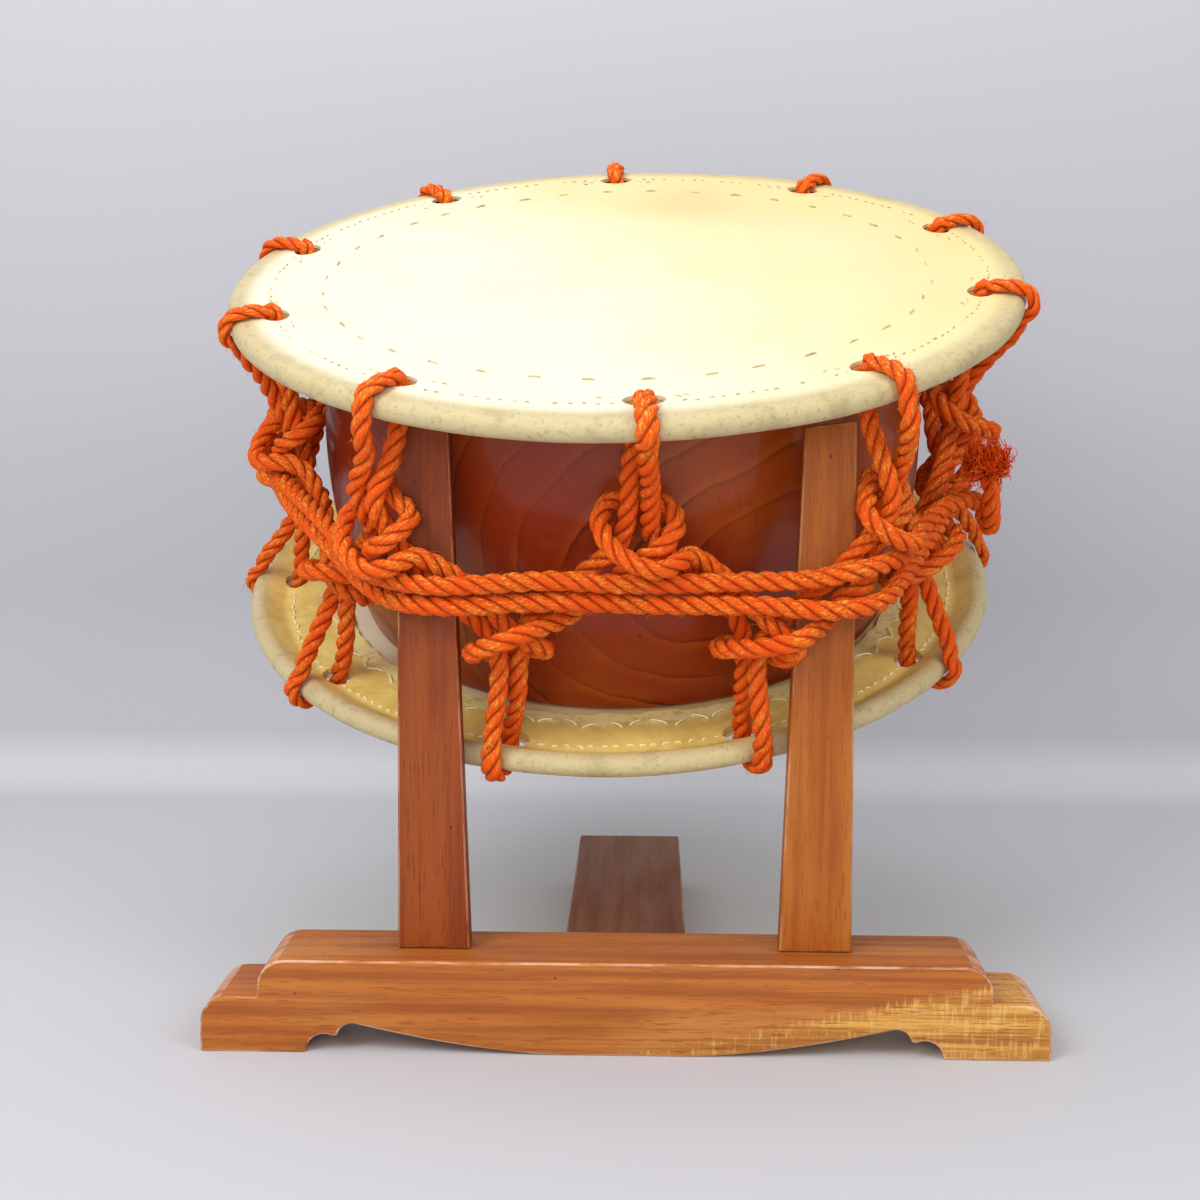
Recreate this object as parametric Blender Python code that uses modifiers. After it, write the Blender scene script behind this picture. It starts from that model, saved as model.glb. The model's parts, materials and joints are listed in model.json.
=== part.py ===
"""A shime daiko, the rope-tensioned drum of Noh and festival music, hung on its low T-shaped wooden stand.

The drum is a hollowed barrel of wood between two skins. Each skin is folded round an iron ring and back
under itself, so its edge overhangs the barrel. A lacing rope zigzags through slits in the two skins and
over their edges. A waist rope draws the lacing together in pairs, takes a turn round each pair, and then
passes twice round the whole drum. The stand's two posts stand in a front board and go up behind the ropes.

World axes: X to the right, Y away from the player's side, Z up. The origin is the middle of the front
board's underside, where the stand rests. The drum has a frame of its own: its axis is that frame's Z, and
azimuths run from the front, which is its -Y, towards +X.
"""

import math

import bmesh
import bpy
import numpy as np
from mathutils import Euler, Vector
from mathutils.kdtree import KDTree

MM = 0.001

# Clearances
SEAT_GAP = 0.3 * MM  # between pieces that touch
ROPE_GAP = 1.0 * MM  # between a rope and the head's edge it bends over
BODY_GAP = 5.2 * MM  # between the barrel's mouth and the folded edge of the skin round it

# Heads: a skin folded round an iron ring
HEAD_RADIUS = 175 * MM
HEAD_SPAN = 154 * MM  # from the outer face of one skin to the outer face of the other
SKIN = 1.5 * MM
RING_ROD = 6.0 * MM  # diameter of the iron ring's rod
TOP_HEAD_SHIFT = 3.2 * MM  # hand lacing leaves the two heads a little off the barrel's axis
BOTTOM_HEAD_SHIFT = -3.8 * MM
FOLD_ANGLE = math.radians(35)  # slope of the fold where it leaves the ring
SLIT_FROM_RING = 15 * MM  # from the middle of the ring's rod in to the middle of the slits
SLIT_LENGTH = 15 * MM
SLIT_WIDTH = 11 * MM

# Barrel
BELLY_RADIUS = 136 * MM
MOUTH_RADIUS = 124 * MM
EDGE_ROUND = 3.5 * MM  # rounding of the mouth where the skin bears
BORE_WAIST_RADIUS = 101 * MM
WALL_AT_MOUTH = 15 * MM
INNER_SLOPE = 9 * MM  # height of the slope inside the mouth

# Ropes
ROPE = 8.0 * MM  # diameter
ROPE_CLEARANCE = 0.9 * MM  # the two ropes' routes are eased apart to this
SPACING = ROPE + ROPE_CLEARANCE + 0.4 * MM  # between the middles of two strands that touch
TURN_HEIGHT_TOP = 23.5 * MM  # height of the waist rope's turns round the upper pairs
TURN_HEIGHT_BOTTOM = -25.5 * MM
PAIR_STRAIGHT = 9 * MM  # how far beyond the turn, towards the waist, a pair stays side by side
WRAP_HEIGHT = 6.4 * MM  # mean height of the upper of the two wraps
WRAP_SLOPE = 5.0 * MM  # the wraps lie this much higher at the left and lower at the right
CAGE_RADIUS = 151 * MM  # of the lacing at the waist
LEFT_BULGE = (-27.0, 12.0, 23.5 * MM)  # where a post pushes the ropes out: azimuth, half width, height
RIGHT_BULGE = (30.0, 13.0, 26.5 * MM)
# The ten pairs that go over each head, spaced by hand and so not quite evenly.
TOP_PAIRS = (3.3, 37.2, 76, 111, 145.5, 182.5, 216.5, 254, 289, 327)
BOTTOM_PAIRS = (20, 55.7, 93.5, 129, 165, 201, 236.5, 271.5, 308.5, 344.4)
TUFT_LENGTH = 20 * MM
TUFT_WIDTH = 17 * MM
ROPE_SIDES = 1  # resolution of the rope's round
ROPE_BEND = 34  # degrees of bend between two of the rope's points
ROPE_REACH = 24 * MM  # and the farthest they lie apart
EASE_STEP = 2.5 * MM  # the ropes are eased apart at points this far apart
EASE_TURNS = 150
EASE_FAIRING = 0.02

# Stand
BOARD_LENGTH = 336 * MM
BOARD_HEIGHT = 37.7 * MM
BOARD_THICKNESS = 41 * MM
STEP_HEIGHT = 22.6 * MM
STEP_AT = 145 * MM  # from the middle to the step in the board's end
END_ROUND = 11 * MM
BELLY_HALF = 26 * MM  # half of the middle foot under the board
CLOUD_HEIGHT = 12 * MM  # the cut under the board, a low cloud with two lobes
CLOUD_PEAK = 107 * MM
LOBE_RADIUS = 6.8 * MM
LOW_LOBE_RADIUS = 7.5 * MM
FOOT_AT = 126 * MM  # from the middle to the inner edge of each end foot
POST_FRONT = -4.5 * MM  # the posts' front and back faces
POST_BACK = 6.5 * MM
POST_INNER_LOW = 62 * MM  # from the middle to the posts' inner edges, at the board and at the top
POST_INNER_HIGH = 69 * MM
POST_OUTER_LOW = 91 * MM
POST_OUTER_HIGH = 89 * MM
POST_TOP_INNER = 247 * MM
POST_TOP_OUTER = 249.5 * MM
TENON_DEPTH = 20 * MM
POST_TENON_WIDTH = 18 * MM
POST_TENON_THICKNESS = 7 * MM
BEAM_WIDTH = 52 * MM
BEAM_HEIGHT = 26 * MM
BEAM_LENGTH = 203 * MM
BEAM_TENON_WIDTH = 34 * MM
BEAM_TENON_HEIGHT = 12 * MM
EDGE_WORN = 0.8 * MM  # small chamfer on the stand's edges

# Where the drum hangs
DRUM_PLACE = (-3.5 * MM, 134.6 * MM, 241.1 * MM)  # middle of the barrel's axis
DRUM_TILT = math.radians(21.0)  # the upper head leans towards the player
DRUM_ROLL = math.radians(-1.3)

# Values that follow from the sizes
FOLD_RADIUS = RING_ROD / 2 + SEAT_GAP + SKIN
POCKET_RADIUS = RING_ROD / 2 + SEAT_GAP
RING_RADIUS = HEAD_RADIUS - FOLD_RADIUS
RING_HEIGHT = HEAD_SPAN / 2 - FOLD_RADIUS
BARREL_HALF = HEAD_SPAN / 2 - SKIN - SEAT_GAP
FLAP_INNER_RADIUS = MOUTH_RADIUS + BODY_GAP
SLIT_RADIUS = RING_RADIUS - SLIT_FROM_RING
ROPE_OVER_RIM = FOLD_RADIUS + ROPE_GAP + ROPE / 2
POST_MIDDLE_Y = (POST_FRONT + POST_BACK) / 2

COLOURS = {
    "lacquered_wood": ((0.16, 0.035, 0.012), 0.25, 0.0),
    "rawhide": ((0.85, 0.79, 0.55), 0.55, 0.0),
    "iron": ((0.06, 0.055, 0.05), 0.6, 1.0),
    "orange_rope": ((0.68, 0.10, 0.012), 0.8, 0.0),
    "frayed_rope": ((0.33, 0.02, 0.008), 0.95, 0.0),
    "board_wood": ((0.45, 0.16, 0.05), 0.55, 0.0),
    "post_wood": ((0.38, 0.10, 0.035), 0.55, 0.0),
    "beam_wood": ((0.20, 0.08, 0.04), 0.6, 0.0),
}


def clear_scene():
    for thing in list(bpy.data.objects):
        bpy.data.objects.remove(thing, do_unlink=True)


def new_collection(name):
    collection = bpy.data.collections.new(name)
    bpy.context.scene.collection.children.link(collection)
    return collection


def material(name):
    """The Principled material of that finish, made once."""
    made = bpy.data.materials.get(name)
    if made:
        return made
    colour, roughness, metallic = COLOURS[name]
    made = bpy.data.materials.new(name)
    made.use_nodes = True
    shader = made.node_tree.nodes["Principled BSDF"]
    shader.inputs["Base Color"].default_value = (*colour, 1)
    shader.inputs["Roughness"].default_value = roughness
    shader.inputs["Metallic"].default_value = metallic
    return made


def place(thing, collection, parent=None):
    """Moves an object into its collection and, if given, under its parent."""
    for old in list(thing.users_collection):
        old.objects.unlink(thing)
    collection.objects.link(thing)
    thing.parent = parent
    return thing


def finish(thing, finish_name, smooth=None):
    thing.data.materials.clear()
    thing.data.materials.append(material(finish_name))
    if smooth:
        thing.data.shade_smooth()
        thing.data.set_sharp_from_angle(angle=math.radians(smooth))
    return thing


def as_cutter(thing):
    thing.hide_render = True
    thing.display_type = "WIRE"
    return thing


def boolean(thing, other, operation="DIFFERENCE"):
    modifier = thing.modifiers.new(operation.lower(), "BOOLEAN")
    modifier.operation = operation
    modifier.object = other
    modifier.solver = "EXACT"


def arc(centre, radius, start, end, count):
    """Points on an arc, with angles in degrees, both ends included."""
    return [
        (
            centre[0] + radius * math.cos(math.radians(start + (end - start) * i / count)),
            centre[1] + radius * math.sin(math.radians(start + (end - start) * i / count)),
        )
        for i in range(count + 1)
    ]


def turned(name, profile, steps, closed):
    """A solid turned about Z from a profile of (radius, height) at +X."""
    mesh = bpy.data.meshes.new(name)
    points = [(radius, 0, height) for radius, height in profile]
    edges = [(i, i + 1) for i in range(len(points) - 1)]
    if closed:
        edges.append((len(points) - 1, 0))
    mesh.from_pydata(points, edges, [])
    thing = bpy.data.objects.new(name, mesh)
    bpy.context.scene.collection.objects.link(thing)
    screw = thing.modifiers.new("turn", "SCREW")
    screw.steps = steps
    screw.render_steps = steps
    screw.use_merge_vertices = True
    screw.merge_threshold = 0.00001
    return thing


def box(name, low, high, worn=0.0):
    """A box between two corners, with its scale applied and its edges worn if asked."""
    bpy.ops.mesh.primitive_cube_add(size=1)
    thing = bpy.context.object
    thing.name = name
    size = Vector(high) - Vector(low)
    middle = (Vector(high) + Vector(low)) / 2
    for vertex in thing.data.vertices:
        vertex.co = Vector((vertex.co.x * size.x, vertex.co.y * size.y, vertex.co.z * size.z))
    thing.location = middle
    if worn:
        edge = thing.modifiers.new("worn edge", "BEVEL")
        edge.width = worn
        edge.segments = 1
    return thing


def plate(name, outline, thickness, worn):
    """A flat outline in X and Z, extruded both ways along Y, as a mesh with chamfered edges."""
    curve = bpy.data.curves.new(name, "CURVE")
    curve.dimensions = "2D"
    curve.fill_mode = "BOTH"
    curve.extrude = thickness / 2 - worn
    curve.bevel_depth = worn
    curve.bevel_resolution = 0
    curve.offset = -worn
    spline = curve.splines.new("POLY")
    spline.points.add(len(outline) - 1)
    for point, (x, z) in zip(spline.points, outline):
        point.co = (x, z, 0, 1)
    spline.use_cyclic_u = True
    drawn = bpy.data.objects.new(name + "_outline", curve)
    bpy.context.scene.collection.objects.link(drawn)
    bpy.context.view_layer.update()
    mesh = bpy.data.meshes.new_from_object(drawn.evaluated_get(bpy.context.evaluated_depsgraph_get()))
    bpy.data.objects.remove(drawn)
    work = bmesh.new()
    work.from_mesh(mesh)
    bmesh.ops.remove_doubles(work, verts=work.verts, dist=0.00001)
    for vertex in work.verts:
        vertex.co = Vector((vertex.co.x, -vertex.co.z, vertex.co.y))
    bmesh.ops.recalc_face_normals(work, faces=work.faces)
    work.to_mesh(mesh)
    work.free()
    thing = bpy.data.objects.new(name, mesh)
    bpy.context.scene.collection.objects.link(thing)
    return thing


def barrel_radius(height):
    """Outer radius of the barrel, full at the belly and drawn in towards its mouths."""
    return BELLY_RADIUS - (BELLY_RADIUS - MOUTH_RADIUS) * (height / BARREL_HALF) ** 2


def make_barrel(things, drum):
    """The hollowed barrel: its belly, the rounded edges the skins bear on, and the flared bore."""
    shoulder = BARREL_HALF - EDGE_ROUND
    heights = np.linspace(shoulder, -shoulder, 11)
    outer = [(barrel_radius(height), height) for height in heights]
    mouth_outer = barrel_radius(shoulder)
    crown = arc((mouth_outer - EDGE_ROUND, shoulder), EDGE_ROUND, 90, 15, 3)
    bore_mouth = MOUTH_RADIUS - WALL_AT_MOUTH
    bore_heights = np.linspace(-(BARREL_HALF - INNER_SLOPE), BARREL_HALF - INNER_SLOPE, 5)
    reach = BARREL_HALF - INNER_SLOPE
    bore = [
        (BORE_WAIST_RADIUS + (bore_mouth - BORE_WAIST_RADIUS) * (height / reach) ** 2, height)
        for height in bore_heights
    ]
    lower_crown = [(radius, -height) for radius, height in reversed(crown)]
    profile = crown + outer + lower_crown + bore
    thing = turned("body_shell", profile, 60, closed=True)
    place(thing, things, drum)
    finish(thing, "lacquered_wood", smooth=40)


def skin_profile():
    """Half section of a skin: flat over the drum, round the ring, and folded back under itself."""
    top = HEAD_SPAN / 2
    centre = (RING_RADIUS, RING_HEIGHT)
    leave = -90 - math.degrees(FOLD_ANGLE)
    outside = arc(centre, FOLD_RADIUS, 90, leave, 7)
    flap_low = top - 2 * SKIN - SEAT_GAP
    flap_high = top - SKIN - SEAT_GAP

    def meet(radius, level):
        """Where the slope that leaves the ring at that radius reaches a level."""
        x = centre[0] + radius * math.cos(math.radians(leave))
        z = centre[1] + radius * math.sin(math.radians(leave))
        return (x - (level - z) / math.tan(FOLD_ANGLE), level)

    inside = arc(centre, POCKET_RADIUS, leave, 90, 5)
    return (
        [(0, top)]
        + outside
        + [meet(FOLD_RADIUS, flap_low), (FLAP_INNER_RADIUS, flap_low), (FLAP_INNER_RADIUS, flap_high)]
        + [meet(POCKET_RADIUS, flap_high)]
        + inside
        + [(0, top - SKIN)]
    )


def pair_side(azimuth):
    """Of each pair, the strand that goes outside the head's edge is the one farther from the front."""
    return 1 if math.sin(math.radians(azimuth)) >= 0 else -1


def make_head(things, cutters, drum, name, upward, shift, pairs):
    """A skin with its slits, and the iron ring in its fold."""
    skin = turned(name + "_skin", skin_profile(), 60, closed=False)
    skin.location.x = shift
    skin.rotation_euler.x = 0 if upward else math.pi
    place(skin, things, drum)
    finish(skin, "rawhide", smooth=40)
    level = (HEAD_SPAN / 2 - SKIN) * (1 if upward else -1)
    for number, azimuth in enumerate(pairs, 1):
        angle = math.radians(azimuth)
        bpy.ops.mesh.primitive_cylinder_add(vertices=14, radius=0.5, depth=6 * SKIN)
        slit = bpy.context.object
        slit.name = f"{name}_slit_{number}"
        for vertex in slit.data.vertices:
            vertex.co.x *= SLIT_WIDTH
            vertex.co.y *= SLIT_LENGTH
        slit.location = (
            shift + SLIT_RADIUS * math.sin(angle),
            -SLIT_RADIUS * math.cos(angle),
            level,
        )
        slit.rotation_euler.z = angle
        boolean(skin, as_cutter(place(slit, cutters, drum)))
    bpy.ops.mesh.primitive_torus_add(
        major_radius=RING_RADIUS, minor_radius=RING_ROD / 2, major_segments=60, minor_segments=6
    )
    ring = bpy.context.object
    ring.name = name + "_ring"
    ring.location = (shift, 0, RING_HEIGHT * (1 if upward else -1))
    place(ring, things, drum)
    finish(ring, "iron", smooth=60)


def bulge(azimuth, shape):
    middle, half_width, height = shape
    off = (azimuth - middle + 180) % 360 - 180
    return height * math.exp(-((off / half_width) ** 2))


def cage_radius(azimuth):
    """Radius of the lacing at the waist: drawn in all round, and pushed out over each post."""
    return CAGE_RADIUS + bulge(azimuth, LEFT_BULGE) + bulge(azimuth, RIGHT_BULGE)


def polar(azimuth, radius, height, shift=0.0):
    angle = math.radians(azimuth)
    return (shift + radius * math.sin(angle), -radius * math.cos(angle), height)


def on_cage(azimuth, along, height, lift=0.0):
    """A point on the lacing's cage, a distance along it from an azimuth, lifted off it by lift."""
    at = azimuth + math.degrees(along / cage_radius(azimuth))
    return polar(at, cage_radius(at) + lift, height)


def lacing_over_head(azimuth, upward, shift):
    """One loop: up outside the edge, over it, through the slit and down inside, or the other way."""
    sign = 1 if upward else -1
    side = pair_side(azimuth)
    turn = TURN_HEIGHT_TOP if upward else TURN_HEIGHT_BOTTOM
    half = SPACING / 2
    radius = cage_radius(azimuth)

    def at(r, height):
        return polar(azimuth, r, height, shift)

    def beside(along, height):
        return on_cage(azimuth, side * along, height)

    outer = RING_RADIUS + ROPE_OVER_RIM
    over = RING_HEIGHT + ROPE_OVER_RIM
    slant = ROPE_OVER_RIM * math.sqrt(0.5)
    points = [
        beside(half, turn - sign * PAIR_STRAIGHT),
        beside(half, turn + sign * 2 * MM),
        beside(half, turn + sign * 11 * MM),
        at((radius + outer) / 2 + 4 * MM, sign * (RING_HEIGHT - 13 * MM)),
        at(outer, sign * (RING_HEIGHT - 2 * MM)),
        at(RING_RADIUS + slant, sign * (RING_HEIGHT + slant)),
        at(RING_RADIUS, sign * over),
        at(SLIT_RADIUS + 7 * MM, sign * over),
        at(SLIT_RADIUS + 2.2 * MM, sign * (over - 2.6 * MM)),
        at(SLIT_RADIUS + 0.2 * MM, sign * (over - 7 * MM)),
        at(SLIT_RADIUS - 0.5 * MM, sign * (over - 14 * MM)),
        beside(-half, turn + sign * 11 * MM),
        beside(-half, turn + sign * 2 * MM),
        beside(-half, turn - sign * PAIR_STRAIGHT),
    ]
    return points[::-1] if side > 0 else points


def lacing_route():
    """The lacing rope's whole endless route, from pair to pair round the drum."""
    route = []
    for number, azimuth in enumerate(TOP_PAIRS):
        below = BOTTOM_PAIRS[number]
        following = TOP_PAIRS[(number + 1) % len(TOP_PAIRS)]
        route += lacing_over_head(azimuth, True, TOP_HEAD_SHIFT)
        route += lacing_between(azimuth, below, downward=True)
        route += lacing_over_head(below, False, BOTTOM_HEAD_SHIFT)
        route += lacing_between(below, following, downward=False)
    return route


def pair_gap(start, end):
    """Degrees from one pair to the next, going round."""
    return (end - start) % 360


def lacing_between(start, end, downward):
    """The strand that runs aslant from one pair's turn to the next one's."""
    half = SPACING / 2
    high = TURN_HEIGHT_TOP - PAIR_STRAIGHT
    low = TURN_HEIGHT_BOTTOM + PAIR_STRAIGHT
    begin = start + math.degrees(half / cage_radius(start))
    reach = pair_gap(start, end) - math.degrees(half / cage_radius(start) + half / cage_radius(end))
    points = []
    for share in (0.2, 0.4, 0.6, 0.8):
        height = high + (low - high) * (share if downward else 1 - share)
        at = begin + reach * share
        points.append(polar(at, cage_radius(at), height))
    return points


def turn_round_pair(azimuth, upward):
    """The waist rope's turn: in front of the pair, round its far side, behind it, and in front again."""
    sign = 1 if upward else -1
    level = TURN_HEIGHT_TOP if upward else TURN_HEIGHT_BOTTOM
    wide = 1.5 * SPACING
    turn = (
        (-0.05 * wide, -12.8, 0.8),
        (0.45 * wide, -7.0, 1.06),
        (0.88 * wide, -2.0, 0.7),
        (wide, 3.0, 0.0),
        (0.80 * wide, 7.8, -0.66),
        (0.33 * wide, 9.6, -0.97),
        (-0.33 * wide, 9.6, -0.97),
        (-0.80 * wide, 7.8, -0.66),
        (-wide, 3.0, 0.0),
        (-0.90 * wide, -1.8, 0.75),
        (-0.55 * wide, -6.0, 1.55),
        (0.02 * wide, -10.0, 2.05),
        (0.62 * wide, -12.4, 1.85),
        (1.12 * wide, -13.2, 1.0),
    )
    return [
        on_cage(azimuth, along, level + sign * beyond * MM, lift * SPACING)
        for along, beyond, lift in turn
    ]


def waist_between(start, end, downward):
    """From one turn to the next, beside the lacing strand and a rope's spacing from it."""
    half = SPACING / 2
    span = math.radians(pair_gap(start, end)) * (cage_radius(start) + cage_radius(end)) / 2
    rise = TURN_HEIGHT_TOP - TURN_HEIGHT_BOTTOM - 2 * PAIR_STRAIGHT
    slope = rise / (span - 2 * half)
    clear = SPACING * math.sqrt(1 + slope * slope)
    points = []
    for along in (1.55 * SPACING + 7.5 * MM, span / 2, span - 14 * MM, span - 6.5 * MM):
        drop = PAIR_STRAIGHT + slope * (along - half) - clear
        if downward:
            height = TURN_HEIGHT_TOP - drop
        else:
            height = TURN_HEIGHT_BOTTOM + drop
        at = start + pair_gap(start, end) * along / span
        points.append(polar(at, cage_radius(at), height))
    return points


def wrap_height(azimuth):
    return WRAP_HEIGHT - WRAP_SLOPE * math.sin(math.radians(azimuth))


def wraps(start, end):
    """The two plain wraps, the first below the second, from one azimuth to another past a full turn."""
    points = []
    count = 66
    for i in range(count + 1):
        azimuth = start + (end - start) * i / count
        climb = min(max((azimuth - (end - 360)) / (start + 360 - (end - 360)), 0.0), 1.0)
        climb = climb * climb * (3 - 2 * climb)
        height = wrap_height(azimuth) - SPACING * (1 - climb)
        points.append(polar(azimuth, cage_radius(azimuth) + SPACING, height))
    return points


def waist_route():
    """The waist rope from its plain end, round the twenty pairs, twice round the drum, to its tuft."""
    stations = sorted(
        [(azimuth % 360, True) for azimuth in TOP_PAIRS] + [(azimuth % 360, False) for azimuth in BOTTOM_PAIRS]
    )
    first = next(i for i, (azimuth, upward) in enumerate(stations) if azimuth > 100 and upward)
    stations = stations[first:] + stations[:first]
    start_at = stations[0][0]
    tucked = (BELLY_RADIUS + ROPE / 2 + CAGE_RADIUS - SPACING) / 2
    route = [
        polar(start_at + 0.5, tucked, -15 * MM),
        polar(start_at - 0.5, tucked + 1 * MM, -6 * MM),
        polar(start_at - 1.2, CAGE_RADIUS - 4 * MM, 3 * MM),
        polar(start_at - 1.2, CAGE_RADIUS + 1 * MM, 11 * MM),
    ]
    for number, (azimuth, upward) in enumerate(stations):
        route += turn_round_pair(azimuth, upward)
        if number + 1 < len(stations):
            route += waist_between(azimuth, stations[number + 1][0], downward=upward)
    last = stations[-1][0]
    route += [
        polar(last + 10, CAGE_RADIUS + 0.55 * SPACING, -9 * MM),
    ]
    start = last + 15
    end = last - 37 + 720
    route += wraps(start, end)
    bow = CAGE_RADIUS + SPACING
    route += [
        polar(end + 5, bow + 3 * MM, 2 * MM),
        polar(end + 9.5, bow + 6 * MM, -5 * MM),
        polar(end + 11.5, bow + 9 * MM, -14 * MM),
        polar(end + 9.5, bow + 14 * MM, -20 * MM),
        polar(end + 6.8, bow + 17.5 * MM, -14 * MM),
        polar(end + 5.8, bow + 17.5 * MM, -4 * MM),
        polar(end + 5.5, bow + 16.5 * MM, 5 * MM),
        polar(end + 5.5, bow + 15 * MM, 13 * MM),
    ]
    return route


def smooth_route(points, cyclic):
    """A smooth curve through the route's points, read every millimetre or so."""
    points = np.array(points)
    count = len(points)
    dense = []
    spans = count if cyclic else count - 1
    for i in range(spans):
        if cyclic:
            before, start, end, after = (points[(i + k) % count] for k in (-1, 0, 1, 2))
        else:
            start, end = points[i], points[i + 1]
            before = points[i - 1] if i else 2 * start - end
            after = points[i + 2] if i + 2 < count else 2 * end - start
        steps = max(2, int(np.linalg.norm(end - start) / MM))
        # Knots set by the square root of the distances keep short spans from overshooting.
        t0 = 0.0
        t1 = t0 + max(np.linalg.norm(start - before), 1e-6) ** 0.5
        t2 = t1 + max(np.linalg.norm(end - start), 1e-6) ** 0.5
        t3 = t2 + max(np.linalg.norm(after - end), 1e-6) ** 0.5
        for t in np.linspace(t1, t2, steps, endpoint=False):
            a1 = (t1 - t) / (t1 - t0) * before + (t - t0) / (t1 - t0) * start
            a2 = (t2 - t) / (t2 - t1) * start + (t - t1) / (t2 - t1) * end
            a3 = (t3 - t) / (t3 - t2) * end + (t - t2) / (t3 - t2) * after
            b1 = (t2 - t) / (t2 - t0) * a1 + (t - t0) / (t2 - t0) * a2
            b2 = (t3 - t) / (t3 - t1) * a2 + (t - t1) / (t3 - t1) * a3
            dense.append((t2 - t) / (t2 - t1) * b1 + (t - t1) / (t2 - t1) * b2)
    if not cyclic:
        dense.append(points[-1])
    return np.array(dense)


def spaced(points, step, cyclic):
    """A route read at even steps along it."""
    closed = np.vstack([points, points[:1]]) if cyclic else points
    run = np.concatenate([[0], np.cumsum(np.linalg.norm(np.diff(closed, axis=0), axis=1))])
    count = int(round(run[-1] / step))
    at = np.linspace(0, run[-1], count, endpoint=not cyclic)
    return np.column_stack([np.interp(at, run, closed[:, axis]) for axis in range(3)])


def near_pairs(points, rope_of, along, lengths, reach):
    """Every two points that lie within reach but aren't neighbours along one rope."""
    tree = KDTree(len(points))
    for i, point in enumerate(points):
        tree.insert(point, i)
    tree.balance()
    near = [(i, j) for i, point in enumerate(points) for _, j, _ in tree.find_range(point, reach) if j > i]
    i, j = np.array(near).T
    between = np.abs(along[j] - along[i])
    between = np.minimum(between, np.array(lengths)[rope_of[i]] - between)
    keep = (rope_of[j] != rope_of[i]) | (between > 2.2 * ROPE)
    return i[keep], j[keep]


def clear_of_posts(points, posts, rotation, drum_place):
    """How far each point has to move, in the drum's frame, to lie clear of the two posts."""
    world = points @ rotation.T + drum_place
    move = np.zeros_like(points)
    for side in (-1, 1):
        share = np.clip((world[:, 2] - BOARD_HEIGHT) / (posts - BOARD_HEIGHT), 0, 1)
        inner = POST_INNER_LOW + (POST_INNER_HIGH - POST_INNER_LOW) * share
        outer = POST_OUTER_LOW + (POST_OUTER_HIGH - POST_OUTER_LOW) * share
        nearest = np.column_stack(
            [
                side * np.clip(side * world[:, 0], inner, outer),
                np.clip(world[:, 1], POST_FRONT, POST_BACK),
                np.minimum(world[:, 2], posts),
            ]
        )
        away = world - nearest
        distance = np.linalg.norm(away, axis=1)
        short = np.maximum(ROPE / 2 + ROPE_CLEARANCE / 2 - distance, 0)
        inside = distance < 0.1 * MM
        away[inside] = (0, -1, 0)
        distance[inside] = 1
        short[inside] += world[inside, 1] - POST_FRONT
        move += away / distance[:, None] * short[:, None]
    return move @ rotation


def samples_on(routes):
    """Even samples on the ropes' chords: the two ends each lies between, its share, its rope, its place."""
    first, second, share, rope_of, along, lengths = [], [], [], [], [], []
    start = 0
    for number, (points, cyclic) in enumerate(routes):
        count = len(points)
        run = 0.0
        for i in range(count if cyclic else count - 1):
            chord = np.linalg.norm(points[(i + 1) % count] - points[i])
            steps = max(1, round(chord / EASE_STEP))
            for k in range(steps):
                first.append(start + i)
                second.append(start + (i + 1) % count)
                share.append(k / steps)
                rope_of.append(number)
                along.append(run + chord * k / steps)
            run += chord
        lengths.append(run if cyclic else math.inf)
        start += count
    return (*(np.array(kind) for kind in (first, second, share, rope_of, along)), lengths)


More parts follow.
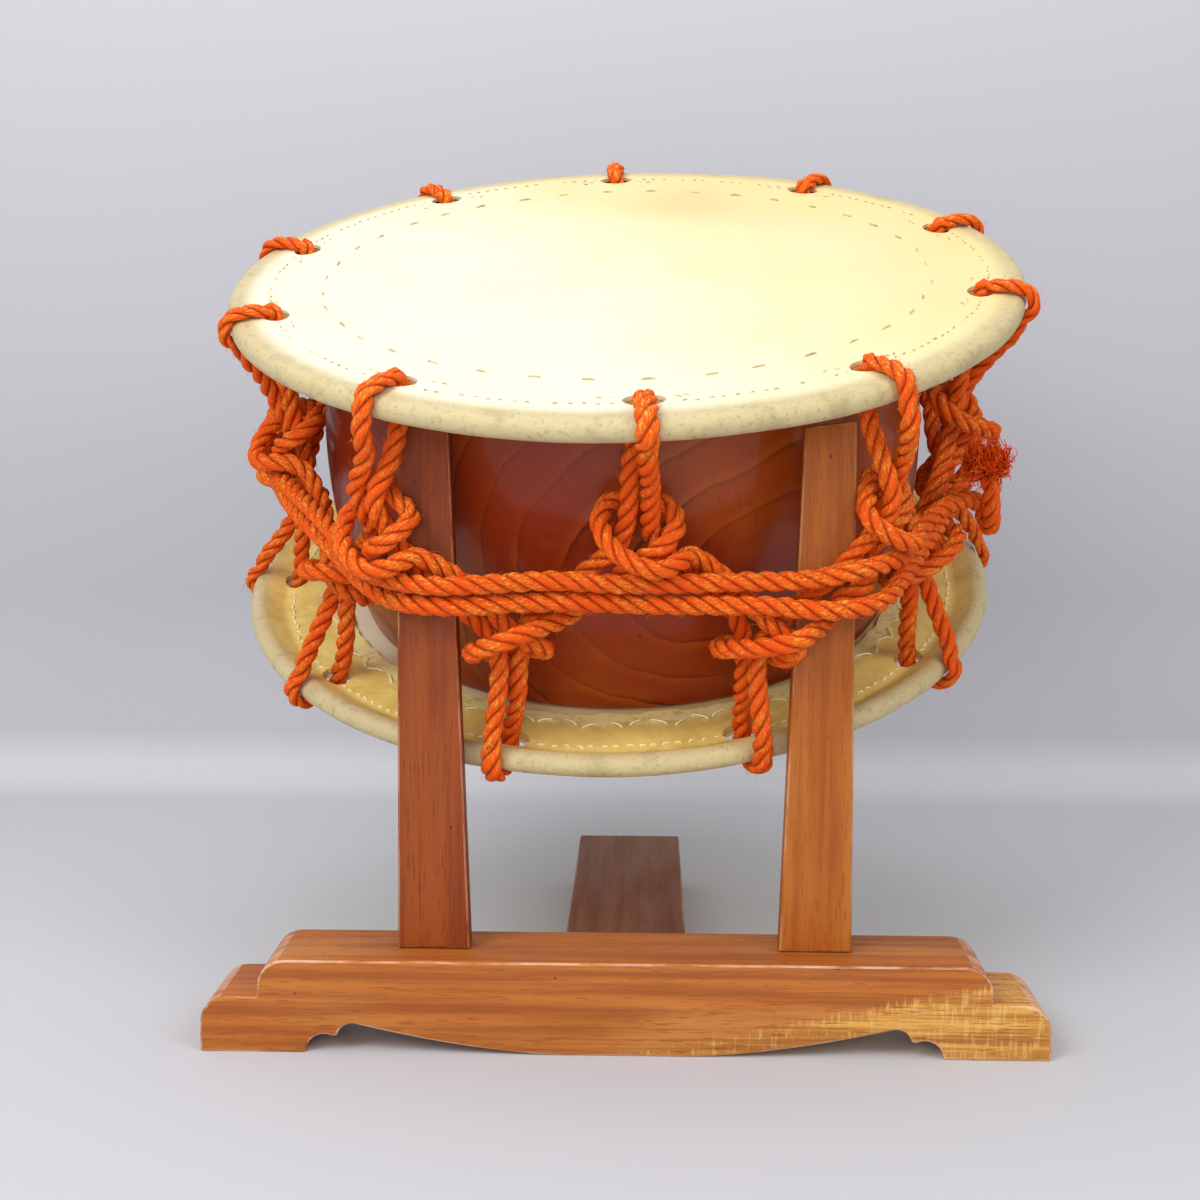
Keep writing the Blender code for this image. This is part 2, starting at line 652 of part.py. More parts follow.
def ease_apart(routes, rotation, drum_place):
    """Moves the strands that lie too close apart, and fairs them, till every strand lies clear."""
    points = np.vstack([route for route, _ in routes])
    starts = np.cumsum([0] + [len(route) for route, _ in routes])
    free = (np.abs(points[:, 2]) < 0.72 * RING_HEIGHT).astype(float)[:, None]
    aim = ROPE + ROPE_CLEARANCE
    for turn in range(EASE_TURNS):
        anew = turn % 10 == 0
        if anew:
            now = [(points[starts[k] : starts[k + 1]], cyclic) for k, (_, cyclic) in enumerate(routes)]
            first, second, share, rope_of, along, lengths = samples_on(now)
        sampled = points[first] * (1 - share[:, None]) + points[second] * share[:, None]
        if anew:
            i, j = near_pairs(sampled, rope_of, along, lengths, aim + 4 * MM)
        apart = sampled[i] - sampled[j]
        distance = np.linalg.norm(apart, axis=1)
        short = np.maximum(aim - distance, 0)
        push = apart / distance[:, None] * (0.5 * short[:, None])
        move = np.zeros_like(sampled)
        weight = np.full(len(sampled), 1e-9)
        pull = (short / ROPE_CLEARANCE) ** 3
        np.add.at(move, i, push * pull[:, None])
        np.add.at(move, j, -push * pull[:, None])
        np.add.at(weight, i, pull)
        np.add.at(weight, j, pull)
        move /= weight[:, None]
        radius = np.hypot(sampled[:, 0], sampled[:, 1])
        height = np.minimum(np.abs(sampled[:, 2]), BARREL_HALF)
        least = barrel_radius(height) + ROPE / 2 + ROPE_CLEARANCE / 2
        out = np.where(np.abs(sampled[:, 2]) < BARREL_HALF, np.maximum(least - radius, 0), 0) / radius
        move[:, :2] += sampled[:, :2] * out[:, None]
        move += clear_of_posts(sampled, POST_TOP_INNER, rotation, drum_place)
        size = np.linalg.norm(move, axis=1)
        shift = np.zeros_like(points)
        weight = np.full(len(points), 1e-9)
        for end, part in ((first, 1 - share), (second, share)):
            np.add.at(shift, end, move * (part * size)[:, None])
            np.add.at(weight, end, part * size)
        shift /= weight[:, None]
        if turn < 0.4 * EASE_TURNS:
            for number, (_, cyclic) in enumerate(routes):
                one = points[starts[number] : starts[number + 1]]
                mean = (np.roll(one, 1, axis=0) + np.roll(one, -1, axis=0)) / 2 - one
                if not cyclic:
                    mean[[0, -1]] = 0
                shift[starts[number] : starts[number + 1]] += EASE_FAIRING * mean
        points = points + shift * free
    return [points[starts[k] : starts[k + 1]] for k in range(len(routes))]


def thin_out(dense, turn, reach):
    """Keeps a point wherever the route has turned or run far enough since the last one kept."""
    kept = [dense[0]]
    turned_by = 0.0
    run = 0.0
    for i in range(1, len(dense) - 1):
        before = dense[i] - dense[i - 1]
        after = dense[i + 1] - dense[i]
        run += np.linalg.norm(before)
        cosine = before @ after / (np.linalg.norm(before) * np.linalg.norm(after))
        turned_by += math.acos(min(1.0, max(-1.0, cosine)))
        if turned_by >= turn or run >= reach:
            kept.append(dense[i])
            turned_by = 0.0
            run = 0.0
    kept.append(dense[-1])
    return np.array(kept)


def least_gap(dense, diameter, cyclic):
    """The least distance between two stretches of the rope that aren't neighbours along it."""
    run = np.concatenate([[0], np.cumsum(np.linalg.norm(np.diff(dense, axis=0), axis=1))])
    total = run[-1]
    least = (math.inf, 0)
    for i in range(0, len(dense), 2):
        along = np.abs(run - run[i])
        if cyclic:
            along = np.minimum(along, total - along)
        far = along > 2.6 * diameter
        if far.any():
            away = np.linalg.norm(dense[far] - dense[i], axis=1).min()
            least = min(least, (away - diameter, i))
    where = dense[least[1]]
    azimuth = math.degrees(math.atan2(where[0], -where[1]))
    return least[0], azimuth, where[2]


def make_rope(things, drum, name, points, cyclic):
    """A rope as one unbroken tube through its points."""
    drawn = spaced(points, MM, cyclic)
    gap, azimuth, height = least_gap(drawn, ROPE, cyclic)
    length = np.linalg.norm(np.diff(drawn, axis=0), axis=1).sum()
    print(
        f"{name}: {length:.2f} m long, {len(points)} points, least gap to itself {gap / MM:.2f} mm"
        f" at azimuth {azimuth:.0f}, height {height / MM:.0f} mm"
    )
    curve = bpy.data.curves.new(name, "CURVE")
    curve.dimensions = "3D"
    curve.bevel_depth = ROPE / 2
    curve.bevel_resolution = ROPE_SIDES
    curve.use_fill_caps = True
    spline = curve.splines.new("POLY")
    spline.points.add(len(points) - 1)
    for point, place_at in zip(spline.points, points):
        point.co = (*place_at, 1)
    spline.use_cyclic_u = cyclic
    rope = bpy.data.objects.new(name, curve)
    bpy.context.scene.collection.objects.link(rope)
    place(rope, things, drum)
    curve.materials.append(material("orange_rope"))


def make_tuft(things, drum, name, base, towards):
    """The frayed brush of a rope's end, spreading from where the rope stops."""
    direction = (Vector(towards)).normalized()
    profile = (
        [(0, TUFT_LENGTH)]
        + [(TUFT_WIDTH / 2 * share, TUFT_LENGTH * height) for share, height in ((0.62, 0.94), (1.0, 0.66), (0.9, 0.36))]
        + [(0.3 * ROPE, 0.0), (0, 0)]
    )
    tuft = turned(name, profile, 12, closed=False)
    tuft.rotation_mode = "QUATERNION"
    tuft.rotation_quaternion = Vector((0, 0, 1)).rotation_difference(direction)
    tuft.location = Vector(base) + direction * SEAT_GAP
    place(tuft, things, drum)
    finish(tuft, "frayed_rope", smooth=60)


def rope_routes():
    """The routes of the lacing and of the waist rope, clear of each other, the barrel and the posts."""
    rotation = np.array(Euler((DRUM_TILT, DRUM_ROLL, 0), "YXZ").to_matrix())
    bend = math.radians(ROPE_BEND)
    lacing = thin_out(smooth_route(lacing_route(), True), bend, ROPE_REACH)[:-1]
    waist = thin_out(smooth_route(waist_route(), False), bend, ROPE_REACH)
    return ease_apart([(lacing, True), (waist, False)], rotation, np.array(DRUM_PLACE))


def make_ropes(things, drum):
    lacing, waist = rope_routes()
    make_rope(things, drum, "lacing_rope", lacing, cyclic=True)
    make_rope(things, drum, "waist_rope", waist, cyclic=False)
    make_tuft(things, drum, "waist_rope_tuft", waist[-1], waist[-1] - waist[-2])


def board_outline():
    """Right half of the front board's outline from the middle foot round to the top, then its mirror."""
    half = BOARD_LENGTH / 2
    rise = [
        (
            BELLY_HALF + (CLOUD_PEAK - BELLY_HALF) * share,
            CLOUD_HEIGHT * share**1.6,
        )
        for share in np.linspace(0, 1, 10)
    ]
    right = (
        rise
        + arc((CLOUD_PEAK, CLOUD_HEIGHT - LOBE_RADIUS), LOBE_RADIUS, 75, 15, 4)
        + arc((FOOT_AT - LOW_LOBE_RADIUS, 0), LOW_LOBE_RADIUS, 118, 0, 6)
        + [(half, 0)]
        + arc((half - END_ROUND, STEP_HEIGHT - END_ROUND), END_ROUND, 0, 90, 6)
        + [(STEP_AT, STEP_HEIGHT)]
        + arc((STEP_AT - END_ROUND, BOARD_HEIGHT - END_ROUND), END_ROUND, 0, 90, 6)
    )
    left = [(-x, z) for x, z in reversed(right)]
    return right + left


def make_board(things, cutters):
    board = place(plate("front_board", board_outline(), BOARD_THICKNESS, EDGE_WORN), things)
    finish(board, "board_wood", smooth=30)
    wide = POST_TENON_WIDTH / 2 + SEAT_GAP
    thick = POST_TENON_THICKNESS / 2 + SEAT_GAP
    for side in (-1, 1):
        middle = side * post_middle()
        mortise = box(
            "left_post_mortise" if side < 0 else "right_post_mortise",
            (middle - wide, POST_MIDDLE_Y - thick, BOARD_HEIGHT - TENON_DEPTH - SEAT_GAP),
            (middle + wide, POST_MIDDLE_Y + thick, BOARD_HEIGHT + 5 * MM),
        )
        boolean(board, as_cutter(place(mortise, cutters)))
    back = BOARD_THICKNESS / 2
    wide = BEAM_TENON_WIDTH / 2 + SEAT_GAP
    high = BEAM_TENON_HEIGHT / 2 + SEAT_GAP
    mortise = box(
        "beam_mortise",
        (-wide, back - TENON_DEPTH - SEAT_GAP, BEAM_HEIGHT / 2 - high),
        (wide, back + 5 * MM, BEAM_HEIGHT / 2 + high),
    )
    boolean(board, as_cutter(place(mortise, cutters)))


def post_middle():
    """From the stand's middle to the middle of a post's foot."""
    return (POST_INNER_LOW + POST_OUTER_LOW) / 2


def make_post(things, cutters, side):
    """A tapered post with its tenon in the board and its top cut a little aslant."""
    foot = BOARD_HEIGHT + SEAT_GAP
    outline = [
        (side * POST_INNER_LOW, foot),
        (side * POST_OUTER_LOW, foot),
        (side * POST_OUTER_HIGH, POST_TOP_OUTER),
        (side * POST_INNER_HIGH, POST_TOP_INNER),
    ]
    name = "left_post" if side < 0 else "right_post"
    post = place(plate(name, outline, POST_BACK - POST_FRONT, EDGE_WORN), things)
    post.location.y = POST_MIDDLE_Y
    finish(post, "post_wood", smooth=30)
    middle = side * post_middle()
    thick = POST_TENON_THICKNESS / 2
    tenon = box(
        name + "_tenon",
        (middle - POST_TENON_WIDTH / 2, POST_MIDDLE_Y - thick, BOARD_HEIGHT - TENON_DEPTH),
        (middle + POST_TENON_WIDTH / 2, POST_MIDDLE_Y + thick, foot + 5 * MM),
    )
    boolean(post, as_cutter(place(tenon, cutters)), "UNION")


def make_beam(things, cutters):
    """The long foot that runs back under the drum and keeps the stand from tipping."""
    front = BOARD_THICKNESS / 2 + SEAT_GAP
    beam = box(
        "rear_beam",
        (-BEAM_WIDTH / 2, front, 0),
        (BEAM_WIDTH / 2, front + BEAM_LENGTH, BEAM_HEIGHT),
        worn=EDGE_WORN,
    )
    place(beam, things)
    finish(beam, "beam_wood")
    tenon = box(
        "beam_tenon",
        (-BEAM_TENON_WIDTH / 2, front - TENON_DEPTH, (BEAM_HEIGHT - BEAM_TENON_HEIGHT) / 2),
        (BEAM_TENON_WIDTH / 2, front + 5 * MM, (BEAM_HEIGHT + BEAM_TENON_HEIGHT) / 2),
    )
    boolean(beam, as_cutter(place(tenon, cutters)), "UNION")


def make_drum_frame(things):
    """The empty that carries the drum: its origin is the middle of the barrel, its Z the drum's axis."""
    drum = bpy.data.objects.new("drum_axis", None)
    drum.rotation_mode = "YXZ"
    drum.rotation_euler = Euler((DRUM_TILT, DRUM_ROLL, 0), "YXZ")
    drum.location = DRUM_PLACE
    things.objects.link(drum)
    bpy.context.view_layer.update()
    return drum


def main():
    clear_scene()
    things = new_collection("shime_daiko")
    cutters = new_collection("cutters")
    drum = make_drum_frame(things)
    make_barrel(things, drum)
    make_head(things, cutters, drum, "top", True, TOP_HEAD_SHIFT, TOP_PAIRS)
    make_head(things, cutters, drum, "bottom", False, BOTTOM_HEAD_SHIFT, BOTTOM_PAIRS)
    make_ropes(things, drum)
    make_board(things, cutters)
    make_post(things, cutters, -1)
    make_post(things, cutters, 1)
    make_beam(things, cutters)
    bpy.context.view_layer.update()


main()
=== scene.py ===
"""Looks of a shime daiko that rests on its low stand: lacquered barrel, laced rawhide heads and laid cord.

Everything is in metres in the frame of the CAD model: X to the right, Y away from the player's side, Z up.
The drum's own pieces are built in the drum's frame, whose Z is the barrel's axis, and set in place by DrumPose.
"""

from __future__ import annotations

import json
import logging
import math
from collections.abc import Callable, Sequence
from dataclasses import dataclass, field
from enum import Enum
from functools import partial

import bmesh
import bpy
import numpy as np
from mathutils import Euler, Matrix, Vector
from mathutils.kdtree import KDTree

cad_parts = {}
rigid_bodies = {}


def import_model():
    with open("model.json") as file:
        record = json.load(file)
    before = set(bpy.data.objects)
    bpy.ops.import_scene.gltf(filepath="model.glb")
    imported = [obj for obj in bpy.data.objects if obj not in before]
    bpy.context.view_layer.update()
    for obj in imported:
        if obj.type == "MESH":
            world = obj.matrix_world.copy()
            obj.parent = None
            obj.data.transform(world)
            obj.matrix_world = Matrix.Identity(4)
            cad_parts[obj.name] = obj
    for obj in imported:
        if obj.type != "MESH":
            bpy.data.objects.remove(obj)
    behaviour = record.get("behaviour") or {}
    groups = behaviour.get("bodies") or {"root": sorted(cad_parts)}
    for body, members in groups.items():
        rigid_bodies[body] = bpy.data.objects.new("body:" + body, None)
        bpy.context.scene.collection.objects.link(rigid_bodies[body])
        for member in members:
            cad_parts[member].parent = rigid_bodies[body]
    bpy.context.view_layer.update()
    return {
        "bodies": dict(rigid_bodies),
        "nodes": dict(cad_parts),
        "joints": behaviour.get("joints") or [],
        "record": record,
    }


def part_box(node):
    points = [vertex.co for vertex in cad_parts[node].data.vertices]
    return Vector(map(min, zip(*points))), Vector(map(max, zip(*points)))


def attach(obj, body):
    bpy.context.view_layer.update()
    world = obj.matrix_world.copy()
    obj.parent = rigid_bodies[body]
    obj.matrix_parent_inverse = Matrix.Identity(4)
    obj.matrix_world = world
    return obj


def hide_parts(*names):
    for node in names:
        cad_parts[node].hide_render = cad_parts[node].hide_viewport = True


LOG = logging.getLogger("shime_daiko")
MM = 0.001
SEED = 7

Point = Sequence[float]
Mesh = tuple[np.ndarray, list[tuple[int, ...]]]  # points and faces
Piece = bpy.types.Object
Material = bpy.types.Material
Socket = bpy.types.NodeSocket
Outputs = bpy.types.NodeOutputs
Add = Callable[..., Outputs]  # add_node for one tree

BLEND = {"data_type": "RGBA"}
DARKEN = {"data_type": "RGBA", "blend_type": "MULTIPLY"}
SMOOTH = {"interpolation_type": "SMOOTHSTEP"}


# Small tools


def linear(colour: str) -> tuple[float, float, float, float]:
    """Turns an sRGB hex colour into the linear colour that a shader takes.

    Args:
        colour: Six hex digits after a hash sign.

    Returns:
        Linear red, green and blue, with an alpha of 1.
    """
    parts = [int(colour[i : i + 2], 16) / 255 for i in (1, 3, 5)]
    bent = [part / 12.92 if part <= 0.04045 else ((part + 0.055) / 1.055) ** 2.4 for part in parts]
    return (*bent, 1.0)


def fill(inputs: bpy.types.NodeInputs, links: dict[str | int, object]) -> None:
    """Gives a node's inputs their values.

    Args:
        inputs: The node's inputs.
        links: Inputs by name or number, each with a value, a hex colour or the output that feeds it.
    """
    for name, value in links.items():
        if isinstance(value, Socket):
            inputs[name].id_data.links.new(value, inputs[name])
        else:
            inputs[name].default_value = linear(value) if isinstance(value, str) else value


def add_node(
    tree: bpy.types.NodeTree,
    kind: str,
    links: dict[str | int, object] | None = None,
    settings: dict[str, object] | None = None,
    stops: Sequence[tuple[float, object]] = (),
) -> Outputs:
    """Adds one shader node with its settings and links.

    Args:
        tree: The node tree it goes into.
        kind: The node's type without its prefix, such as TexNoise.
        links: What its inputs take, as in fill.
        settings: Properties of the node itself.
        stops: Places and hex colours or grey levels, where the node is a colour ramp.

    Returns:
        The node's outputs.
    """
    node = tree.nodes.new("ShaderNode" + kind)
    for name, value in (settings or {}).items():
        setattr(node, name, value)
    fill(node.inputs, links or {})
    if stops:
        ramp = node.color_ramp
        while len(ramp.elements) < len(stops):
            ramp.elements.new(1.0)
        for element, (place, colour) in zip(ramp.elements, stops):
            element.position = place
            element.color = linear(colour) if isinstance(colour, str) else (colour, colour, colour, 1.0)
    return node.outputs


def new_material(name: str) -> tuple[Material, Add, bpy.types.NodeInputs]:
    """Makes a material.

    Args:
        name: The material's name.

    Returns:
        The material, the function that adds a node to it and the inputs of its Principled shader.
    """
    made = bpy.data.materials.new(name)
    made.use_nodes = True
    return made, partial(add_node, made.node_tree), made.node_tree.nodes["Principled BSDF"].inputs


def mesh_object(name: str, points: np.ndarray, faces: Sequence[Sequence[int]], smooth: bool = True) -> Piece:
    """Makes a mesh object from points and faces.

    Args:
        name: The piece's name.
        points: One row of X, Y, Z for each vertex.
        faces: Vertex numbers of each face.
        smooth: Whether its faces shade smoothly.

    Returns:
        The object, linked to the scene.
    """
    mesh = bpy.data.meshes.new(name)
    mesh.from_pydata([tuple(point) for point in points], [], [tuple(face) for face in faces])
    if smooth:
        mesh.shade_smooth()
    made = bpy.data.objects.new(name, mesh)
    bpy.context.scene.collection.objects.link(made)
    return made


def sheet_faces(rows: int, columns: int, round_columns: bool) -> list[tuple[int, ...]]:
    """Faces of a grid of points, row after row.

    Args:
        rows: Number of rows.
        columns: Number of points in a row.
        round_columns: Whether each row closes on itself.

    Returns:
        Four vertex numbers for each face.
    """
    faces = []
    for i in range(rows - 1):
        row = i * columns
        for j in range(columns if round_columns else columns - 1):
            k = (j + 1) % columns
            faces.append((row + j, row + k, row + columns + k, row + columns + j))
    return faces


def joined(parts: Sequence[Mesh]) -> Mesh:
    """Puts several meshes into one.

    Args:
        parts: Points and faces of each mesh.

    Returns:
        All points, and all faces numbered to match.
    """
    points, faces, start = [], [], 0
    for some, their_faces in parts:
        points.append(some)
        faces += [tuple(start + corner for corner in face) for face in their_faces]
        start += len(some)
    return np.vstack(points), faces


def tangents(path: np.ndarray, closed: bool) -> np.ndarray:
    """Unit directions along a path.

    Args:
        path: Its points.
        closed: Whether the path joins its own start.

    Returns:
        One direction for each point.
    """
    if closed:
        along = np.roll(path, -1, axis=0) - np.roll(path, 1, axis=0)
    else:
        along = np.gradient(path, axis=0)
    return along / np.linalg.norm(along, axis=1)[:, None]


def turning_frames(path: np.ndarray, closed: bool) -> tuple[np.ndarray, np.ndarray]:
    """Carries a pair of directions across a path along it, with no twist of its own.

    Args:
        path: Its points.
        closed: Whether the path joins its own start. What twist is left over is spread evenly.

    Returns:
        The two directions at each point.
    """
    along = tangents(path, closed)
    across = np.zeros_like(path)
    first = np.cross(along[0], (0.0, 0.0, 1.0))
    if np.linalg.norm(first) < 0.1:
        first = np.cross(along[0], (1.0, 0.0, 0.0))
    across[0] = first / np.linalg.norm(first)
    for i in range(1, len(path)):
        carried = across[i - 1] - along[i] * (across[i - 1] @ along[i])
        across[i] = carried / np.linalg.norm(carried)
    other = np.cross(along, across)
    if closed:
        carried = across[-1] - along[0] * (across[-1] @ along[0])
        left = math.atan2(carried @ other[0], carried @ across[0])
        turn = -left * np.arange(len(path)) / len(path)
        cos, sin = np.cos(turn)[:, None], np.sin(turn)[:, None]
        across, other = across * cos + other * sin, other * cos - across * sin
    return across, other


def tube(path: np.ndarray, radii: np.ndarray, sides: int) -> Mesh:
    """A round tube along an open path, with closed ends.

    Args:
        path: The points it follows.
        radii: Its radius at each point.
        sides: Number of its sides.

    Returns:
        Points and faces.
    """
    across, other = turning_frames(path, False)
    angle = np.arange(sides) * 2 * math.pi / sides
    ring = across[:, None] * np.cos(angle)[None, :, None] + other[:, None] * np.sin(angle)[None, :, None]
    points = (path[:, None] + ring * radii[:, None, None]).reshape(-1, 3)
    faces = sheet_faces(len(path), sides, True)
    faces.append(tuple(range(sides))[::-1])
    faces.append(tuple(range(len(points) - sides, len(points))))
    return points, faces


def smooth_noise(angle: np.ndarray, seed: int, waves: int, rough: float = 1.0) -> np.ndarray:
    """A smooth uneven value round a circle, between about -1 and 1.

    Args:
        angle: Angles in radians.
        seed: Chooses the value's shape.
        waves: The shortest waves that it holds go this many times round.
        rough: Strength of the short waves against the long ones.

    Returns:
        The value at each angle.
    """
    random = np.random.default_rng(seed)
    total = np.zeros_like(angle)
    weight = 0.0
    for k in range(1, waves + 1):
        size = k ** (rough - 1.5)
        total = total + size * np.sin(k * angle + random.uniform(0, 2 * math.pi))
        weight += size * size
    return total / math.sqrt(2 * weight)


# Finishes


@dataclass(frozen=True)
class Patches:
    """Uneven patches of one colour over another.

    They lie where a noise passes from low to high, which may be the smaller number. Along the edge of a measure
    it is the measure that passes, made ragged by the noise. The scale is in waves to the metre, all ways alike or
    by axis.
    """

    colour: object
    scale: float | Sequence[float]
    detail: float
    rough: float
    low: float
    high: float
    strength: float = 1.0
    ragged: float = 1.0

    def over(
        self, add: Add, place: Socket, ground: object, edge: Socket | None = None, within: Socket | None = None
    ) -> Socket:
        """Lays the patches over a ground.

        Args:
            add: Adds a node to the material.
            place: Where they are read.
            ground: The colour below.
            edge: The measure along whose edge they lie, if they aren't all over.
            within: How much of them there may be at most.

        Returns:
            The colour on top.
        """
        scale = self.scale
        if not isinstance(scale, float):
            place, scale = add("Mapping", {"Vector": place, "Scale": scale})[0], 1.0
        links = {"Vector": place, "Scale": scale, "Detail": self.detail, "Roughness": self.rough}
        share = add("TexNoise", links)["Fac"]
        if edge is not None:
            share = add("Math", {0: share, 1: self.ragged, 2: edge}, {"operation": "MULTIPLY_ADD"})[0]
        links = {"Value": share, "From Min": self.low, "From Max": self.high, "To Max": self.strength}
        share = add("MapRange", links, SMOOTH)[0]
        if within is not None:
            share = add("Math", {0: share, 1: within}, {"operation": "MULTIPLY"})[0]
        return add("Mix", {0: share, 6: ground, 7: self.colour}, BLEND)[2]


@dataclass(frozen=True)
class LacqueredZelkova:
    """Zelkova turned to a barrel, stained red-brown and finished with clear lacquer.

    The eye gets a few broad growth rings that sweep over the barrel in slanting arches, each ending in a thin
    dark line, on red-brown wood that turns golden in places, under a soft gloss.
    """

    name: str = "lacquered_zelkova"
    ring_width: float = 19 * MM
    heart: Point = (64 * MM, -112 * MM, 4 * MM)
    heart_along: Point = (0.52, 0.82, 0.24)
    pore_width: float = 0.8 * MM
    pore_length: float = 6 * MM
    pore_lean: float = 0.6
    pit_spacing: float = 20.8333 * MM
    dark: str = "#501302"
    middle: str = "#922F05"
    light: str = "#B04B0B"
    golden: str = "#BC6216"

    def build(self) -> Material:
        """Returns the material."""
        made, add, shader = new_material(self.name)
        place = add("TexCoord")["Object"]
        # The log's heart passes out through the barrel's front, so the growth rings cross its side as arches.
        offset = add("VectorMath", {0: place, 1: self.heart}, {"operation": "SUBTRACT"})[0]
        aside = add("VectorMath", {0: offset, 1: self.heart_along}, {"operation": "CROSS_PRODUCT"})[0]
        distance = add("VectorMath", {0: aside}, {"operation": "LENGTH"})["Value"]
        for scale, detail, wander in ((9.0, 2.0, 30 * MM), (30.0, 4.0, 9 * MM)):
            noise = add("TexNoise", {"Vector": place, "Scale": scale, "Detail": detail})["Fac"]
            distance = add("Math", {0: noise, 1: wander, 2: distance}, {"operation": "MULTIPLY_ADD"})[0]
        counted = add("Math", {0: distance, 1: self.ring_width}, {"operation": "DIVIDE"})[0]
        ring = add("Math", {0: counted}, {"operation": "FRACT"})[0]
        stops = [(0.0, self.light), (0.25, self.middle), (0.86, self.middle)]
        stops += [(0.955, self.dark), (0.975, self.dark), (1.0, self.light)]
        rings = add("ValToRGB", {0: ring}, stops=stops)[0]
        # Golden clouds, and calm places where the rings hardly show.
        clouds = add("TexNoise", {"Vector": place, "Scale": 11.0, "Detail": 3.0})["Fac"]
        gold = add("ValToRGB", {0: clouds}, stops=[(0.44, 0.0), (0.66, 0.8)])[0]
        calm = add("TexNoise", {"Vector": place, "Scale": 13.0})["Fac"]
        shows = add("ValToRGB", {0: calm}, stops=[(0.36, 0.20), (0.60, 0.95)])[0]
        half_gold = add("Math", {0: gold, 1: 0.5}, {"operation": "MULTIPLY"})[0]
        rings = add("Mix", {0: half_gold, 6: rings, 7: self.golden}, BLEND)[2]
        colour = add("Mix", {0: gold, 6: self.middle, 7: self.golden}, BLEND)[2]
        colour = add("Mix", {0: shows, 6: colour, 7: rings}, BLEND)[2]
        # Pores and pits darken it.
        stretch = (1 / self.pore_width, 1 / self.pore_width, 1 / self.pore_length)
        links = {"Vector": place, "Rotation": (0.0, self.pore_lean, 0.0), "Scale": stretch}
        drawn = add("Mapping", links)[0]
        pores = add("TexNoise", {"Vector": drawn, "Scale": 1.0, "Roughness": 0.6})["Fac"]
        pits = add("TexVoronoi", {"Vector": place, "Scale": 1 / self.pit_spacing})["Distance"]
        for share, value, stops in (
            (0.5, pores, [(0.30, 0.55), (0.44, 1.0)]),
            (0.8, pits, [(0.025, 0.25), (0.055, 1.0)]),
        ):
            marks = add("ValToRGB", {0: value}, stops=stops)[0]
            colour = add("Mix", {0: share, 6: colour, 7: marks}, DARKEN)[2]
        waves = add("TexNoise", {"Vector": place, "Scale": 42.0})["Fac"]
        bump = add("Bump", {"Strength": 0.22, "Distance": 0.5 * MM, "Height": waves})[0]
        fill(shader, {"Base Color": colour, "Normal": bump, "Coat Normal": bump})
        fill(shader, {"Roughness": 0.42, "Specular IOR Level": 0.22, "Coat Weight": 0.34, "Coat Roughness": 0.15})
        return made


